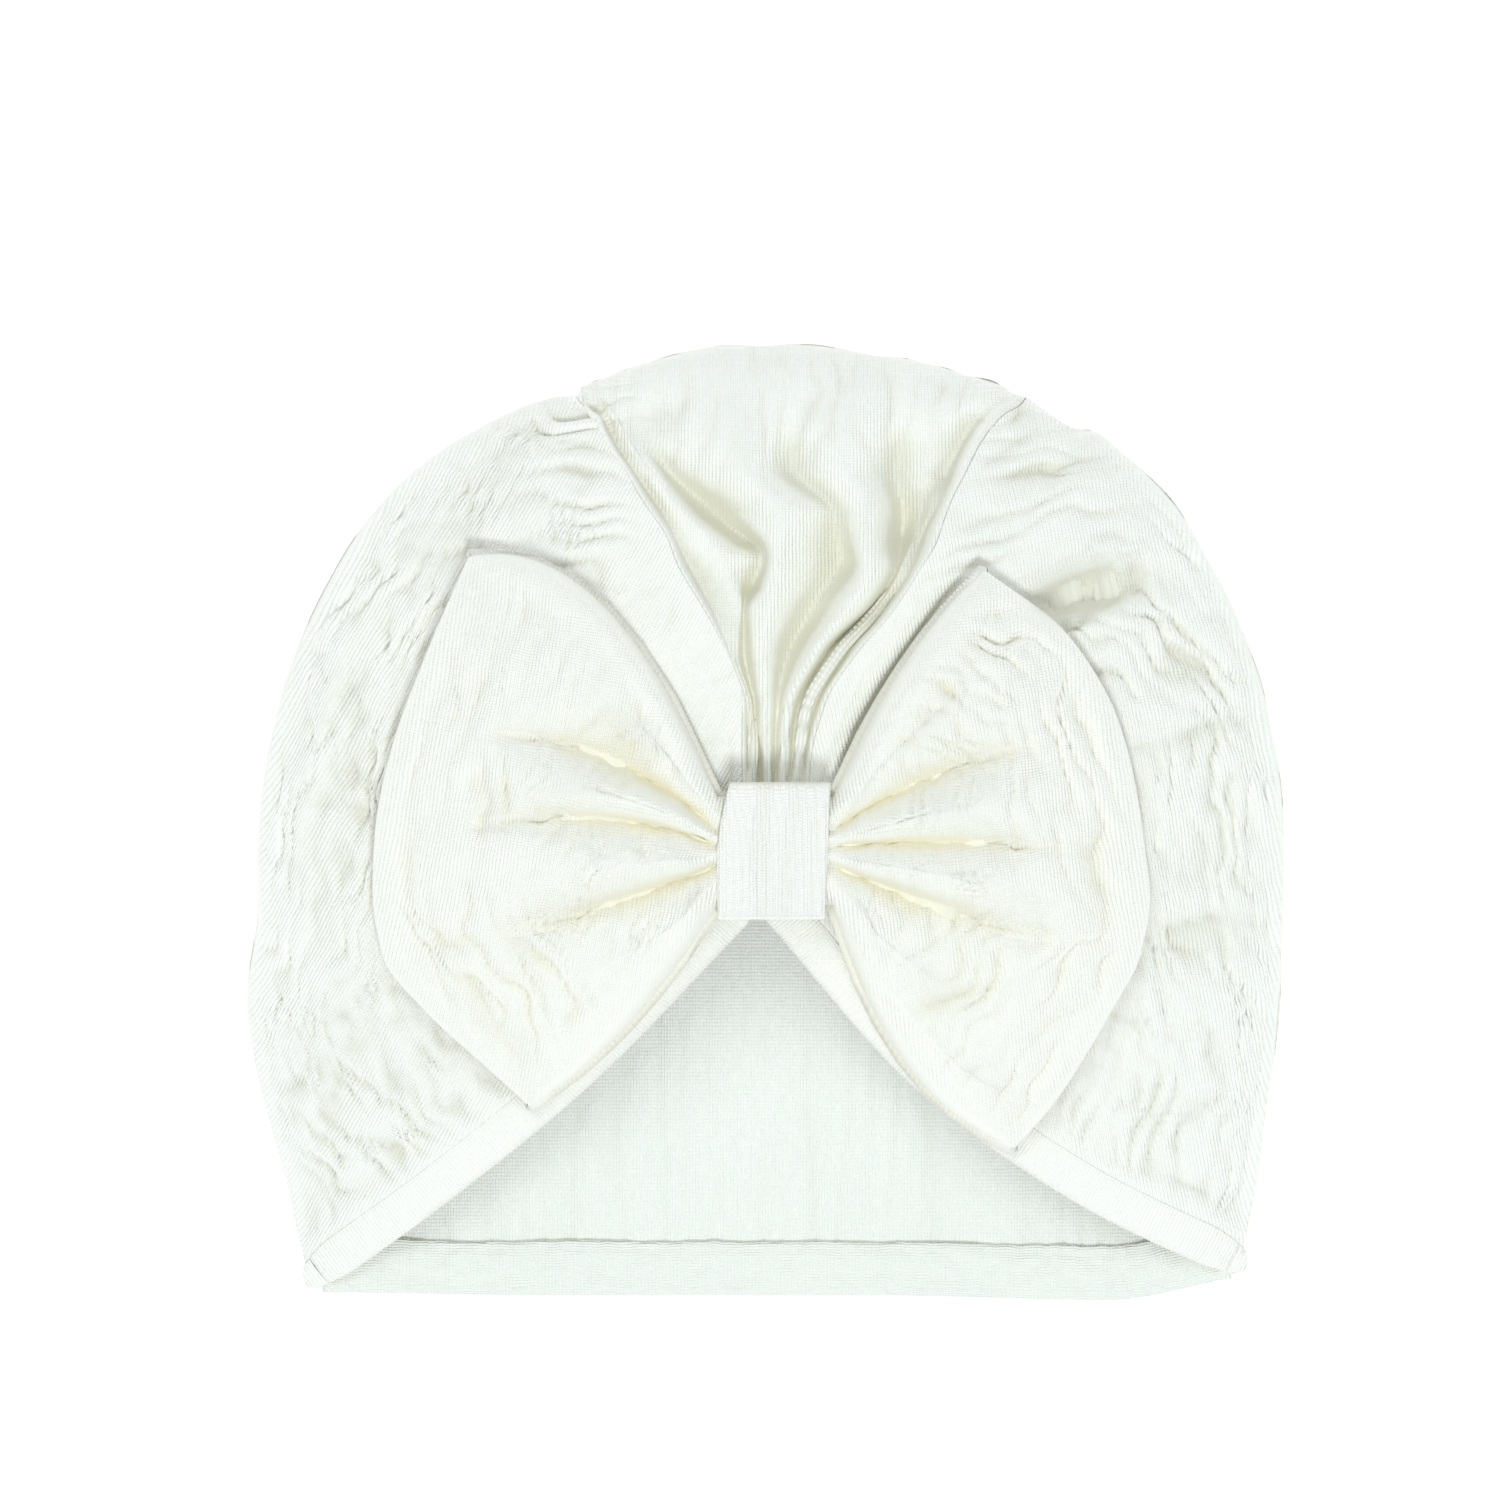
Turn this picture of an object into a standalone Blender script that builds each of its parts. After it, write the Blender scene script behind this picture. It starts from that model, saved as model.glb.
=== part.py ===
"""Baby turban hat of white crinkled jersey, lying on its back.

The crown is one cloth shell: a flat back wall, a rounded side fold and a front wall gathered into pleats.
A bow of one folded strip and a band round its waist sit on the front, and both edges of the opening are hemmed.
X runs across the hat, Y from the opening towards the crown's top, Z up from the surface that the hat lies on.
"""
import functools
import math

import bmesh
import bpy
import numpy as np

# Driving dimensions, in metres.
HAT_WIDTH = 0.192
HAT_HEIGHT = 0.177
CROWN_RISE = 0.021
CLOTH = 0.0013
GAP = 0.0003
SIDE_FOLD_RADIUS = 0.0045
CORNER_FOLD_RADIUS = 0.0026
PLEAT_DEPTH = 0.0085
KNOT_DIP = 0.003
KNOT_DIP_REACH = 0.030

FRONT_HEM_WIDTH = 0.0055
FRONT_HEM_THICKNESS = 0.0034
BACK_HEM_HEIGHT = 0.0100

BAND_WIDTH = 0.0206
BAND_HEIGHT = 0.0252
WAIST_THICKNESS = 0.0080
WAIST_ROUNDING = 0.0010
WING_LOFT = 0.0165
WING_EDGE_LOFT = 0.0110
WING_END_THICKNESS = 0.0070
WING_CREASE_DEPTH = 0.0055

# Shapes of the curves: the dome's roundness towards the outline, how much lower it is along the opening,
# and the roundness of the bow's wings along their length, towards their outer fold and across them.
DOME_ROUNDNESS = 2.6
OPENING_FALL = 0.42
OPENING_FALL_ANGLES = (math.radians(95), math.radians(140))
WING_SWELL_SPAN = (0.12, 0.98)
WING_SWELL_ROUNDNESS = 0.8
WING_FOLD_ROUNDNESS = 5
WING_EDGE_ROUNDNESS = 3
WAIST_EDGE_SHARE = 0.5
WAIST_CORNER_ROUNDNESS = 6

# Lengths in the tables below are shares of these two halves.
HALF_WIDTH = HAT_WIDTH / 2
HALF_HEIGHT = HAT_HEIGHT / 2
KNOT = np.array([0.019, -0.058]) * (HALF_WIDTH, HALF_HEIGHT)

# Heights, as shares of the half height, at which the pleat tables give their places.
PLEAT_LEVELS = (0.02, 0.10, 0.24, 0.35, 0.45, 0.55, 0.64, 0.74, 0.85)

# Plain cloth of the flanks, left: name, start across, start up, rim across, rim up, bend.
LEFT_FLANK = (
    ("low", -0.073, -0.130, -0.922, -0.761, 0.030),
    ("bulge", -0.075, -0.099, -0.999, -0.390, 0.0),
    ("waist", -0.073, -0.068, -0.978, -0.160, 0.0),
    ("side", -0.069, -0.036, -0.965, 0.120, 0.0),
    ("shoulder", -0.063, -0.011, -0.869, 0.442, 0.0),
    ("upper", -0.058, 0.009, -0.721, 0.692, 0.0),
)

# Plain cloth of the flanks, right, in the same columns.
RIGHT_FLANK = (
    ("brow", 0.106, 0.014, 0.642, 0.813, 0.0),
    ("upper", 0.108, 0.006, 0.767, 0.692, 0.0),
    ("shoulder", 0.109, -0.011, 0.876, 0.505, 0.0),
    ("side", 0.109, -0.036, 0.965, 0.255, 0.0),
    ("waist", 0.106, -0.068, 1.000, -0.010, 0.0),
    ("bulge", 0.098, -0.099, 0.995, -0.330, 0.0),
    ("low", 0.084, -0.123, 0.959, -0.682, -0.030),
)

# Lines of the pleats: name, then places across at the nine levels, then the rim's place across and up.
PLEAT_LINES = (
    ("left_panel", -0.045, -0.065, -0.105, -0.155, -0.220, -0.282, -0.336, -0.393, -0.430, -0.455, 0.875),
    ("left_edge", -0.038, -0.054, -0.071, -0.098, -0.132, -0.171, -0.221, -0.274, -0.336, -0.370, 0.902),
    ("left_step", -0.034, -0.050, -0.061, -0.082, -0.113, -0.150, -0.198, -0.255, -0.320, -0.349, 0.913),
    ("inner_layer", -0.028, -0.044, -0.042, -0.060, -0.058, -0.092, -0.155, -0.238, -0.293, -0.316, 0.927),
    ("deep_valley", -0.022, -0.038, -0.034, -0.050, -0.038, -0.014, -0.107, -0.198, -0.220, -0.224, 0.962),
    ("centre_fold", -0.012, -0.019, -0.013, -0.015, 0.006, 0.013, 0.019, -0.050, -0.060, -0.086, 0.996),
    ("centre_valley", 0.004, 0.002, 0.010, 0.032, 0.090, 0.144, 0.136, 0.048, 0.044, 0.038, 1.000),
    ("main_pleat", 0.030, 0.038, 0.035, 0.073, 0.160, 0.213, 0.188, 0.153, 0.163, 0.186, 0.983),
    ("main_valley", 0.050, 0.059, 0.063, 0.119, 0.228, 0.268, 0.263, 0.259, 0.268, 0.293, 0.965),
    ("slim_pleat", 0.060, 0.066, 0.090, 0.136, 0.238, 0.276, 0.307, 0.336, 0.364, 0.389, 0.936),
    ("slim_valley", 0.068, 0.071, 0.117, 0.152, 0.245, 0.285, 0.332, 0.384, 0.432, 0.466, 0.909),
    ("right_edge", 0.078, 0.081, 0.136, 0.175, 0.260, 0.303, 0.355, 0.422, 0.470, 0.508, 0.892),
    ("right_panel", 0.092, 0.104, 0.165, 0.225, 0.309, 0.374, 0.451, 0.510, 0.556, 0.594, 0.826),
)

# Depth of each of those lines below the dome at the nine levels and at the rim, as a share of PLEAT_DEPTH.
PLEAT_DROPS = (
    ("left_panel", 0.10, 0.05, 0.00, 0.00, 0.00, 0.00, 0.00, 0.00, 0.00, 0.00),
    ("left_edge", 0.15, 0.10, 0.05, 0.00, 0.00, 0.00, 0.00, 0.10, 0.10, 0.05),
    ("left_step", 0.25, 0.35, 0.50, 0.60, 0.65, 0.65, 0.60, 0.50, 0.35, 0.20),
    ("inner_layer", 0.20, 0.25, 0.30, 0.38, 0.38, 0.33, 0.30, 0.30, 0.20, 0.08),
    ("deep_valley", 0.30, 0.50, 0.75, 0.85, 1.00, 1.00, 1.00, 0.80, 0.30, 0.05),
    ("centre_fold", 0.15, 0.20, 0.25, 0.38, 0.45, 0.55, 0.12, 0.30, 0.10, 0.00),
    ("centre_valley", 0.30, 0.50, 0.75, 0.80, 1.00, 0.85, 0.70, 0.50, 0.15, 0.00),
    ("main_pleat", 0.10, 0.10, 0.10, 0.15, 0.08, 0.02, 0.08, 0.30, 0.12, 0.00),
    ("main_valley", 0.30, 0.45, 0.70, 0.75, 0.75, 0.85, 0.95, 0.75, 0.25, 0.00),
    ("slim_pleat", 0.15, 0.20, 0.30, 0.35, 0.55, 0.68, 0.80, 0.65, 0.22, 0.00),
    ("slim_valley", 0.30, 0.45, 0.60, 0.60, 0.50, 0.50, 0.50, 0.50, 0.30, 0.10),
    ("right_edge", 0.18, 0.18, 0.18, 0.12, 0.05, 0.00, 0.00, 0.05, 0.05, 0.00),
    ("right_panel", 0.10, 0.05, 0.00, 0.00, 0.00, 0.00, 0.00, 0.00, 0.00, 0.00),
)

# Broad dents of the flanks: name, across, up, half length, half width (shares of the half width),
# turn in degrees from the X axis, depth as a share of PLEAT_DEPTH.
DENTS = (
    ("right_pocket", 0.600, 0.480, 0.100, 0.034, 16.0, 0.62),
    ("right_shoulder", 0.770, 0.520, 0.100, 0.045, 8.0, 0.25),
    ("right_side", 0.800, 0.330, 0.110, 0.060, 60.0, 0.28),
    ("right_waist", 0.860, -0.060, 0.190, 0.070, 85.0, 0.30),
    ("right_low", 0.860, -0.250, 0.110, 0.040, 4.0, 0.22),
    ("left_shoulder", -0.590, 0.570, 0.110, 0.060, -52.0, 0.32),
    ("left_side", -0.800, 0.240, 0.160, 0.055, 74.0, 0.26),
    ("left_waist", -0.850, -0.060, 0.140, 0.065, 80.0, 0.32),
    ("left_low", -0.800, -0.520, 0.150, 0.055, 68.0, 0.24),
)

# Lines of the bow: name, place at the waist (share of the waist's half height), left middle across and up,
# left end across and up, right middle across and up, right end across and up, crease depth
# (share of WING_CREASE_DEPTH).
WING_LINES = (
    ("lower_edge", -1.00, -0.263, -0.421, -0.451, -0.590, 0.268, -0.499, 0.479, -0.677, 0.0),
    ("lower_corner", -0.86, -0.305, -0.390, -0.545, -0.498, 0.350, -0.500, 0.558, -0.578, 0.0),
    ("lower_ridge", -0.58, -0.320, -0.310, -0.652, -0.390, 0.384, -0.370, 0.662, -0.394, 0.0),
    ("lower_crease", -0.28, -0.340, -0.190, -0.733, -0.276, 0.393, -0.203, 0.720, -0.270, 1.0),
    ("middle_ridge", -0.10, -0.370, -0.090, -0.752, -0.140, 0.425, -0.120, 0.737, -0.155, 0.1),
    ("middle_crease", 0.08, -0.385, 0.005, -0.748, -0.030, 0.425, -0.050, 0.727, -0.055, 0.8),
    ("upper_ridge", 0.22, -0.385, 0.080, -0.734, 0.070, 0.425, 0.040, 0.710, 0.070, 0.1),
    ("upper_crease", 0.38, -0.385, 0.155, -0.708, 0.180, 0.384, 0.113, 0.675, 0.215, 0.9),
    ("top_ridge", 0.66, -0.345, 0.300, -0.645, 0.360, 0.345, 0.255, 0.575, 0.395, 0.0),
    ("top_edge", 1.00, -0.316, 0.457, -0.568, 0.553, 0.270, 0.335, 0.420, 0.524, 0.0),
)

# How far along a wing its creases hold their depth: share of the wing's length, share of the depth.
CREASE_FADE = ((0.0, 0.25), (0.08, 0.55), (0.20, 1.00), (0.38, 0.80), (0.60, 0.30), (0.80, 0.0), (1.0, 0.0))

# Edge of the front opening, across and up, from each corner to the knot.
LEFT_OPENING = ((-0.851, -0.981), (-0.608, -0.790), (-0.328, -0.540), (-0.036, -0.215))
RIGHT_OPENING = ((0.897, -0.953), (0.604, -0.797), (0.286, -0.551), (-0.002, -0.200))

# Edge of the back wall: across and up.
BACK_EDGE = ((-0.845, -0.983), (-0.400, -0.990), (0.200, -0.990), (0.660, -1.000), (0.893, -0.955))

COLOURS = {
    "crown": (0.86, 0.88, 0.86),
    "front_hem": (0.88, 0.89, 0.86),
    "back_hem": (0.84, 0.87, 0.85),
    "bow": (0.90, 0.91, 0.88),
    "knot_band": (0.88, 0.87, 0.83),
}
CLOTH_ROUGHNESS = 0.9


def clear_scene():
    for old in list(bpy.data.objects):
        bpy.data.objects.remove(old, do_unlink=True)


def smooth_through(knots, values, at):
    """Monotone cubic through (knots, values): smooth, and never past its own points."""
    knots = np.asarray(knots, float)
    values = np.asarray(values, float)
    at = np.clip(np.asarray(at, float), knots[0], knots[-1])
    step = np.diff(knots)
    slope = np.diff(values) / step
    tangent = np.empty_like(values)
    tangent[0] = slope[0]
    tangent[-1] = slope[-1]
    product = slope[:-1] * slope[1:]
    total = slope[:-1] + slope[1:]
    safe = np.where(product > 0, total, 1.0)
    tangent[1:-1] = np.where(product > 0, 2 * product / safe, 0.0)
    i = np.clip(np.searchsorted(knots, at, side="right") - 1, 0, len(step) - 1)
    t = (at - knots[i]) / step[i]
    h = step[i]
    rise = values[i] * (1 + 2 * t) * (1 - t) ** 2 + values[i + 1] * t * t * (3 - 2 * t)
    return rise + h * tangent[i] * t * (1 - t) ** 2 - h * tangent[i + 1] * t * t * (1 - t)


def scaled(share_x, share_y):
    """A point in the plane from its shares of the two half sizes."""
    return np.array([share_x * HALF_WIDTH, share_y * HALF_HEIGHT])


def smooth_step(value, low, high):
    t = np.clip((value - low) / (high - low), 0.0, 1.0)
    return t * t * (3 - 2 * t)


# The fan: lines that run from the knot to the outline.

def flank_line(row, stations):
    """Plain line of a flank, bent a little sideways, at shares of its length."""
    start = scaled(row[1], row[2])
    rim = scaled(row[3], row[4])
    along = rim - start
    side = np.array([-along[1], along[0]])
    t = stations[:, None]
    return start + along * t + side * row[5] * 4 * t * (1 - t)


def pleat_line(row, stations):
    """Line of a pleat through its places at the levels, at shares of its height."""
    across = np.array(row[1:10] + (row[10],)) * HALF_WIDTH
    up = np.array(PLEAT_LEVELS + (row[11],)) * HALF_HEIGHT
    share = level_shares()
    return np.stack([smooth_through(share, across, stations), smooth_through(share, up, stations)], axis=1)


def level_shares():
    levels = np.array(PLEAT_LEVELS + (1.0,))
    return (levels - levels[0]) / (levels[-1] - levels[0])


def opening_line(points, inset, shares):
    """Line along one side of the opening, at shares of the way from the corner, moved into the cloth."""
    points = np.array([scaled(*p) for p in points])
    length = np.concatenate([[0.0], np.cumsum(np.linalg.norm(np.diff(points, axis=0), axis=1))])
    at = np.asarray(shares) * length[-1]
    step = length[-1] / 1000
    edge = np.column_stack([smooth_through(length, points[:, axis], at) for axis in range(2)])
    before = np.column_stack([smooth_through(length, points[:, axis], at - step) for axis in range(2)])
    after = np.column_stack([smooth_through(length, points[:, axis], at + step) for axis in range(2)])
    along = after - before
    along /= np.linalg.norm(along, axis=1)[:, None]
    return edge + np.column_stack([-along[:, 1], along[:, 0]]) * inset


def fan_lines(stations):
    """All the lines of the fan, left corner to right corner, with their drops below the dome."""
    inset = FRONT_HEM_WIDTH + GAP
    plain = np.zeros(len(stations))
    lines = [opening_line(LEFT_OPENING, inset, 1 - stations)]
    drops = [plain]
    lines += [flank_line(row, stations) for row in LEFT_FLANK]
    drops += [plain for _ in LEFT_FLANK]
    for row, drop in zip(PLEAT_LINES, PLEAT_DROPS):
        lines.append(pleat_line(row, stations))
        drops.append(smooth_through(level_shares(), drop[1:], stations) * PLEAT_DEPTH)
    lines += [flank_line(row, stations) for row in RIGHT_FLANK]
    drops += [plain for _ in RIGHT_FLANK]
    lines.append(opening_line(RIGHT_OPENING, -inset, 1 - stations))
    drops.append(plain)
    return np.array(lines), np.array(drops)


def fan_columns(flank_steps, pleat_steps):
    """Places of the mesh's columns, counted in lines of the fan."""
    columns = []
    first_pleat = 1 + len(LEFT_FLANK)
    last_pleat = first_pleat + len(PLEAT_LINES) - 1
    last = last_pleat + len(RIGHT_FLANK) + 1
    for line in range(last):
        in_pleats = first_pleat <= line < last_pleat
        steps = pleat_steps if in_pleats else flank_steps
        columns += [line + k / steps for k in range(steps)]
    return np.array(columns + [last])


def blend_lines(lines, columns):
    """Smooth surface through the fan's lines, at the given columns."""
    knots = np.arange(len(lines))
    out = np.empty((len(columns), lines.shape[1], 2))
    for station in range(lines.shape[1]):
        for axis in range(2):
            out[:, station, axis] = smooth_through(knots, lines[:, station, axis], columns)
    return out


def blend_drops(drops, columns):
    """Round on the ridges and sharp in the valleys, between neighbouring lines."""
    i = np.clip(columns.astype(int), 0, len(drops) - 2)
    t = (columns - i)[:, None]
    here = drops[i]
    there = drops[i + 1]
    rising = np.sin(t * math.pi / 2)
    falling = 1 - np.cos(t * math.pi / 2)
    return here + (there - here) * np.where(there < here, rising, falling)


# The dome: the height that the front wall's ridges reach, which carries the bow.

@functools.lru_cache
def outline_polar():
    """Angles and distances of the outline's points, seen from the knot."""
    rim = list(fan_lines(np.array([1.0]))[0][:, 0])
    rim += [scaled(*point) for point in BACK_EDGE]
    offset = np.array(rim) - KNOT
    angles = np.arctan2(offset[:, 0], offset[:, 1])
    reach = np.hypot(offset[:, 0], offset[:, 1])
    order = np.argsort(angles)
    angles = angles[order]
    reach = reach[order]
    whole_turn = 2 * math.pi
    return np.concatenate([angles - whole_turn, angles, angles + whole_turn]), np.tile(reach, 3)


def outline_reach(angle):
    """Distance from the knot to the outline in a direction."""
    angles, reach = outline_polar()
    return smooth_through(angles, reach, angle)


def fold_radius(up):
    """Radius of the side fold, tighter towards the corners of the opening."""
    share = smooth_step(up, -0.95 * HALF_HEIGHT, -0.3 * HALF_HEIGHT)
    return CORNER_FOLD_RADIUS + (SIDE_FOLD_RADIUS - CORNER_FOLD_RADIUS) * share


def dome(across, up):
    """Height of the front wall's ridges over a point of the surface it lies on."""
    from_knot_x = across - KNOT[0]
    from_knot_y = up - KNOT[1]
    distance = np.hypot(from_knot_x, from_knot_y)
    angle = np.arctan2(from_knot_x, from_knot_y)
    share = np.clip(distance / outline_reach(angle), 0.0, 1.0)
    towards_opening = smooth_step(np.abs(angle), *OPENING_FALL_ANGLES) * smooth_step(share, 0.0, 0.5)
    rise = CROWN_RISE * (1 - OPENING_FALL * towards_opening)
    dip = KNOT_DIP * np.exp(-((distance / KNOT_DIP_REACH) ** 2))
    return fold_radius(up) + rise * np.sqrt(1 - share ** DOME_ROUNDNESS) - dip


def dent_depth(across, up):
    """Depth of the broad dents at a point."""
    depth = np.zeros_like(across)
    for _name, at_x, at_y, half_length, half_width, turn, share in DENTS:
        centre = scaled(at_x, at_y)
        c = math.cos(math.radians(turn))
        s = math.sin(math.radians(turn))
        along = ((across - centre[0]) * c + (up - centre[1]) * s) / (half_length * HALF_WIDTH)
        beside = ((up - centre[1]) * c - (across - centre[0]) * s) / (half_width * HALF_WIDTH)
        depth += share * PLEAT_DEPTH * np.exp(-along ** 2 - beside ** 2)
    return depth


# Crown

FRONT_ROWS = (0.0, 0.05, 0.11, 0.17, 0.23, 0.29, 0.35, 0.41, 0.47, 0.53, 0.59, 0.65, 0.71, 0.78, 0.85, 0.91, 0.96, 0.99)
FOLD_ANGLES = (0.0, 40.0, 90.0)
BACK_ROWS = 5
FLANK_STEPS = 3
PLEAT_STEPS = 2


def front_wall():
    """Outer face of the front wall, a grid of columns and rows that stops at the outline."""
    stations = np.array(FRONT_ROWS + (1.0,))
    columns = fan_columns(FLANK_STEPS, PLEAT_STEPS)
    lines, drops = fan_lines(stations)
    plane = blend_lines(lines, columns)
    drop = blend_drops(drops, columns)
    across = plane[:, :, 0]
    up = plane[:, :, 1]
    height = dome(across, up)
    height[:, -1] = fold_radius(up[:, -1])
    room = np.clip((height - fold_radius(up)) / (0.5 * CROWN_RISE), 0.0, 1.0)
    height -= (drop + dent_depth(across, up)) * room
    return np.stack([across, up, height], axis=2)


def inward_normals(rim):
    """Directions in the plane that point from the outline into the hat."""
    along = np.gradient(rim, axis=0)
    along /= np.linalg.norm(along, axis=1)[:, None]
    return np.stack([along[:, 1], -along[:, 0]], axis=1)


def back_edge_point(share):
    """Point of the back wall's lower edge, at a share of its length, drawn in by the hem's turn."""
    points = np.array([scaled(*p) for p in BACK_EDGE])
    left = points[0, 0] + 3 * CLOTH
    right = points[-1, 0] - 3 * CLOTH
    across = left + (right - left) * share
    up = smooth_through(points[:, 0], points[:, 1], across) + CLOTH + GAP
    return np.stack([across, up], axis=1)


def crown_grid():
    """Whole crown: front wall, lower half of the side fold, flat back wall."""
    front = front_wall()
    rim = front[:, -1, :2]
    radius = fold_radius(rim[:, 1])
    inward = inward_normals(rim)
    rows = [front[:, k] for k in range(front.shape[1])]
    for degrees in FOLD_ANGLES[1:]:
        turn = math.radians(degrees)
        plane = rim + inward * (radius * (1 - math.cos(turn)))[:, None]
        height = radius * (1 - math.sin(turn))
        rows.append(np.column_stack([plane, height]))
    start = rows[-1][:, :2]
    length = np.concatenate([[0.0], np.cumsum(np.linalg.norm(np.diff(rim, axis=0), axis=1))])
    end = back_edge_point(length / length[-1])
    for k in range(1, BACK_ROWS + 1):
        plane = start + (end - start) * (k / BACK_ROWS)
        rows.append(np.column_stack([plane, np.zeros(len(plane))]))
    return np.stack(rows, axis=1)


def grid_object(name, grid, close_columns=False, wall=CLOTH):
    """Cloth from a grid of points on its outer face, given its wall by Solidify."""
    columns, rows = grid.shape[:2]
    mesh = bmesh.new()
    verts = [[mesh.verts.new(grid[i, j]) for j in range(rows)] for i in range(columns)]
    for i in range(columns if close_columns else columns - 1):
        following = verts[(i + 1) % columns]
        for j in range(rows - 1):
            mesh.faces.new((verts[i][j], verts[i][j + 1], following[j + 1], following[j]))
    data = bpy.data.meshes.new(name)
    mesh.to_mesh(data)
    mesh.free()
    data.shade_smooth()
    obj = bpy.data.objects.new(name, data)
    solid = obj.modifiers.new("wall", "SOLIDIFY")
    solid.thickness = wall
    solid.offset = -1.0
    return obj


def make_crown():
    return grid_object("crown", crown_grid()[:, ::-1])


# Hems

def sweep(name, path, section_at):
    """Solid swept along a path in space; section_at gives (side, up) pairs at each step."""
    path = np.asarray(path)
    along = np.gradient(path, axis=0)
    along /= np.linalg.norm(along, axis=1)[:, None]
    side = np.cross(along, (0.0, 0.0, 1.0))
    side /= np.linalg.norm(side, axis=1)[:, None]
    lift = np.cross(side, along)
    mesh = bmesh.new()
    rings = []
    for k, centre in enumerate(path):
        ring = [mesh.verts.new(centre + side[k] * a + lift[k] * b) for a, b in section_at(k / (len(path) - 1))]
        rings.append(ring)
    for first, second in zip(rings, rings[1:]):
        for i in range(len(first)):
            j = (i + 1) % len(first)
            mesh.faces.new((first[i], first[j], second[j], second[i]))
    mesh.faces.new(rings[0][::-1])
    mesh.faces.new(rings[-1])
    bmesh.ops.recalc_face_normals(mesh, faces=mesh.faces)
    data = bpy.data.meshes.new(name)
    mesh.to_mesh(data)
    mesh.free()
    data.shade_smooth()
    return bpy.data.objects.new(name, data)


HEM_SIDES = 8
HEM_ARM_STEPS = 16
HEM_TURN_STEPS = 5


def make_front_hem():
    shares = np.linspace(0.0, 1.0, HEM_ARM_STEPS)
    left = opening_line(LEFT_OPENING, FRONT_HEM_WIDTH / 2, shares)
    right = opening_line(RIGHT_OPENING, -FRONT_HEM_WIDTH / 2, shares)[::-1]
    middle = (left[-1] + right[0]) / 2
    half = (right[0] - left[-1]) / 2
    top = np.array([-half[1], half[0]])
    turns = np.linspace(math.pi, 0.0, HEM_TURN_STEPS + 2)[1:-1]
    bend = [middle + half * math.cos(t) + top * math.sin(t) for t in turns]
    plane = np.vstack([left, bend, right])
    height = dome(plane[:, 0], plane[:, 1]) - FRONT_HEM_THICKNESS / 2
    path = np.column_stack([plane, np.maximum(height, FRONT_HEM_THICKNESS / 2 + CLOTH + 2 * GAP)])

    def section(share):
        end = min(share, 1 - share)
        taper = 0.55 + 0.45 * smooth_step(end, 0.0, 0.05)
        turns = np.arange(HEM_SIDES) * 2 * math.pi / HEM_SIDES
        width = FRONT_HEM_WIDTH / 2 * taper
        return [(width * math.cos(t), FRONT_HEM_THICKNESS / 2 * taper * math.sin(t)) for t in turns]

    return sweep("front_hem", path, section)


BACK_HEM_STEPS = 22


def make_back_hem():
    """Turned edge: a web round the wall's end and a layer on the wall's inner face."""
    points = np.array([scaled(*p) for p in BACK_EDGE])
    left = points[0, 0] + 2 * CLOTH
    right = points[-1, 0] - 2 * CLOTH
    across = np.linspace(left, right, BACK_HEM_STEPS)
    up = smooth_through(points[:, 0], points[:, 1], across)
    path = np.column_stack([across, up, np.zeros(len(across))])
    lower = CLOTH + GAP
    upper = lower + CLOTH
    round_off = CLOTH / 2

    def section(share):
        end = min(share, 1 - share)
        height = BACK_HEM_HEIGHT * (0.45 + 0.55 * smooth_step(end, 0.0, 0.06))
        return [
            (0.0, round_off),
            (-round_off, 0.0),
            (-CLOTH, 0.0),
            (-CLOTH, lower),
            (-height, lower),
            (-height, upper - round_off),
            (-height + round_off, upper),
            (-CLOTH, upper),
            (-round_off / 2, upper - round_off / 2),
        ]

    return sweep("back_hem", path, section)


# Bow

WING_STATIONS = (0.06, 0.14, 0.24, 0.36, 0.50, 0.64, 0.77, 0.88, 0.95, 0.99, 1.0)
WING_BACK_STATIONS = (0.98, 0.90, 0.72, 0.50, 0.28, 0.12)
WING_STEPS = 2
WAIST_HALF_WIDTH = BAND_WIDTH / 2 + GAP
WAIST_HALF_HEIGHT = BAND_HEIGHT / 2 - CLOTH - GAP - WAIST_ROUNDING


def wing_lines(side, stations):
    """Lines of one wing at shares of its length, 0 at the band's side and 1 at the outer fold."""
    lines = []
    first = 2 if side < 0 else 6
    for row in WING_LINES:
        start = KNOT + (side * WAIST_HALF_WIDTH, row[1] * WAIST_HALF_HEIGHT)
        middle = scaled(row[first], row[first + 1])
        end = scaled(row[first + 2], row[first + 3])
        control = 2 * middle - (start + end) / 2
        t = np.asarray(stations)[:, None]
        lines.append(start * (1 - t) ** 2 + control * 2 * t * (1 - t) + end * t ** 2)
    return np.array(lines)


def bow_seat(across, up):
    """Underside of the bow: clear of the crown, and of the band's layer at the waist."""
    at_band = 1 - smooth_step(np.abs(across - KNOT[0]), BAND_WIDTH * 0.55, BAND_WIDTH * 1.3)
    return dome(across, up) + 2 * GAP + (CLOTH + GAP) * at_band


@functools.lru_cache
def waist_seat():
    """Height of the bow's underside at the knot, the same all over the waist."""
    shares = np.linspace(-1.0, 1.0, 9)
    across = KNOT[0] + shares[:, None] * BAND_WIDTH / 2
    up = KNOT[1] + shares[None, :] * BAND_HEIGHT / 2
    return float(np.max(dome(across + 0 * up, up + 0 * across))) + CLOTH + 3 * GAP


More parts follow.
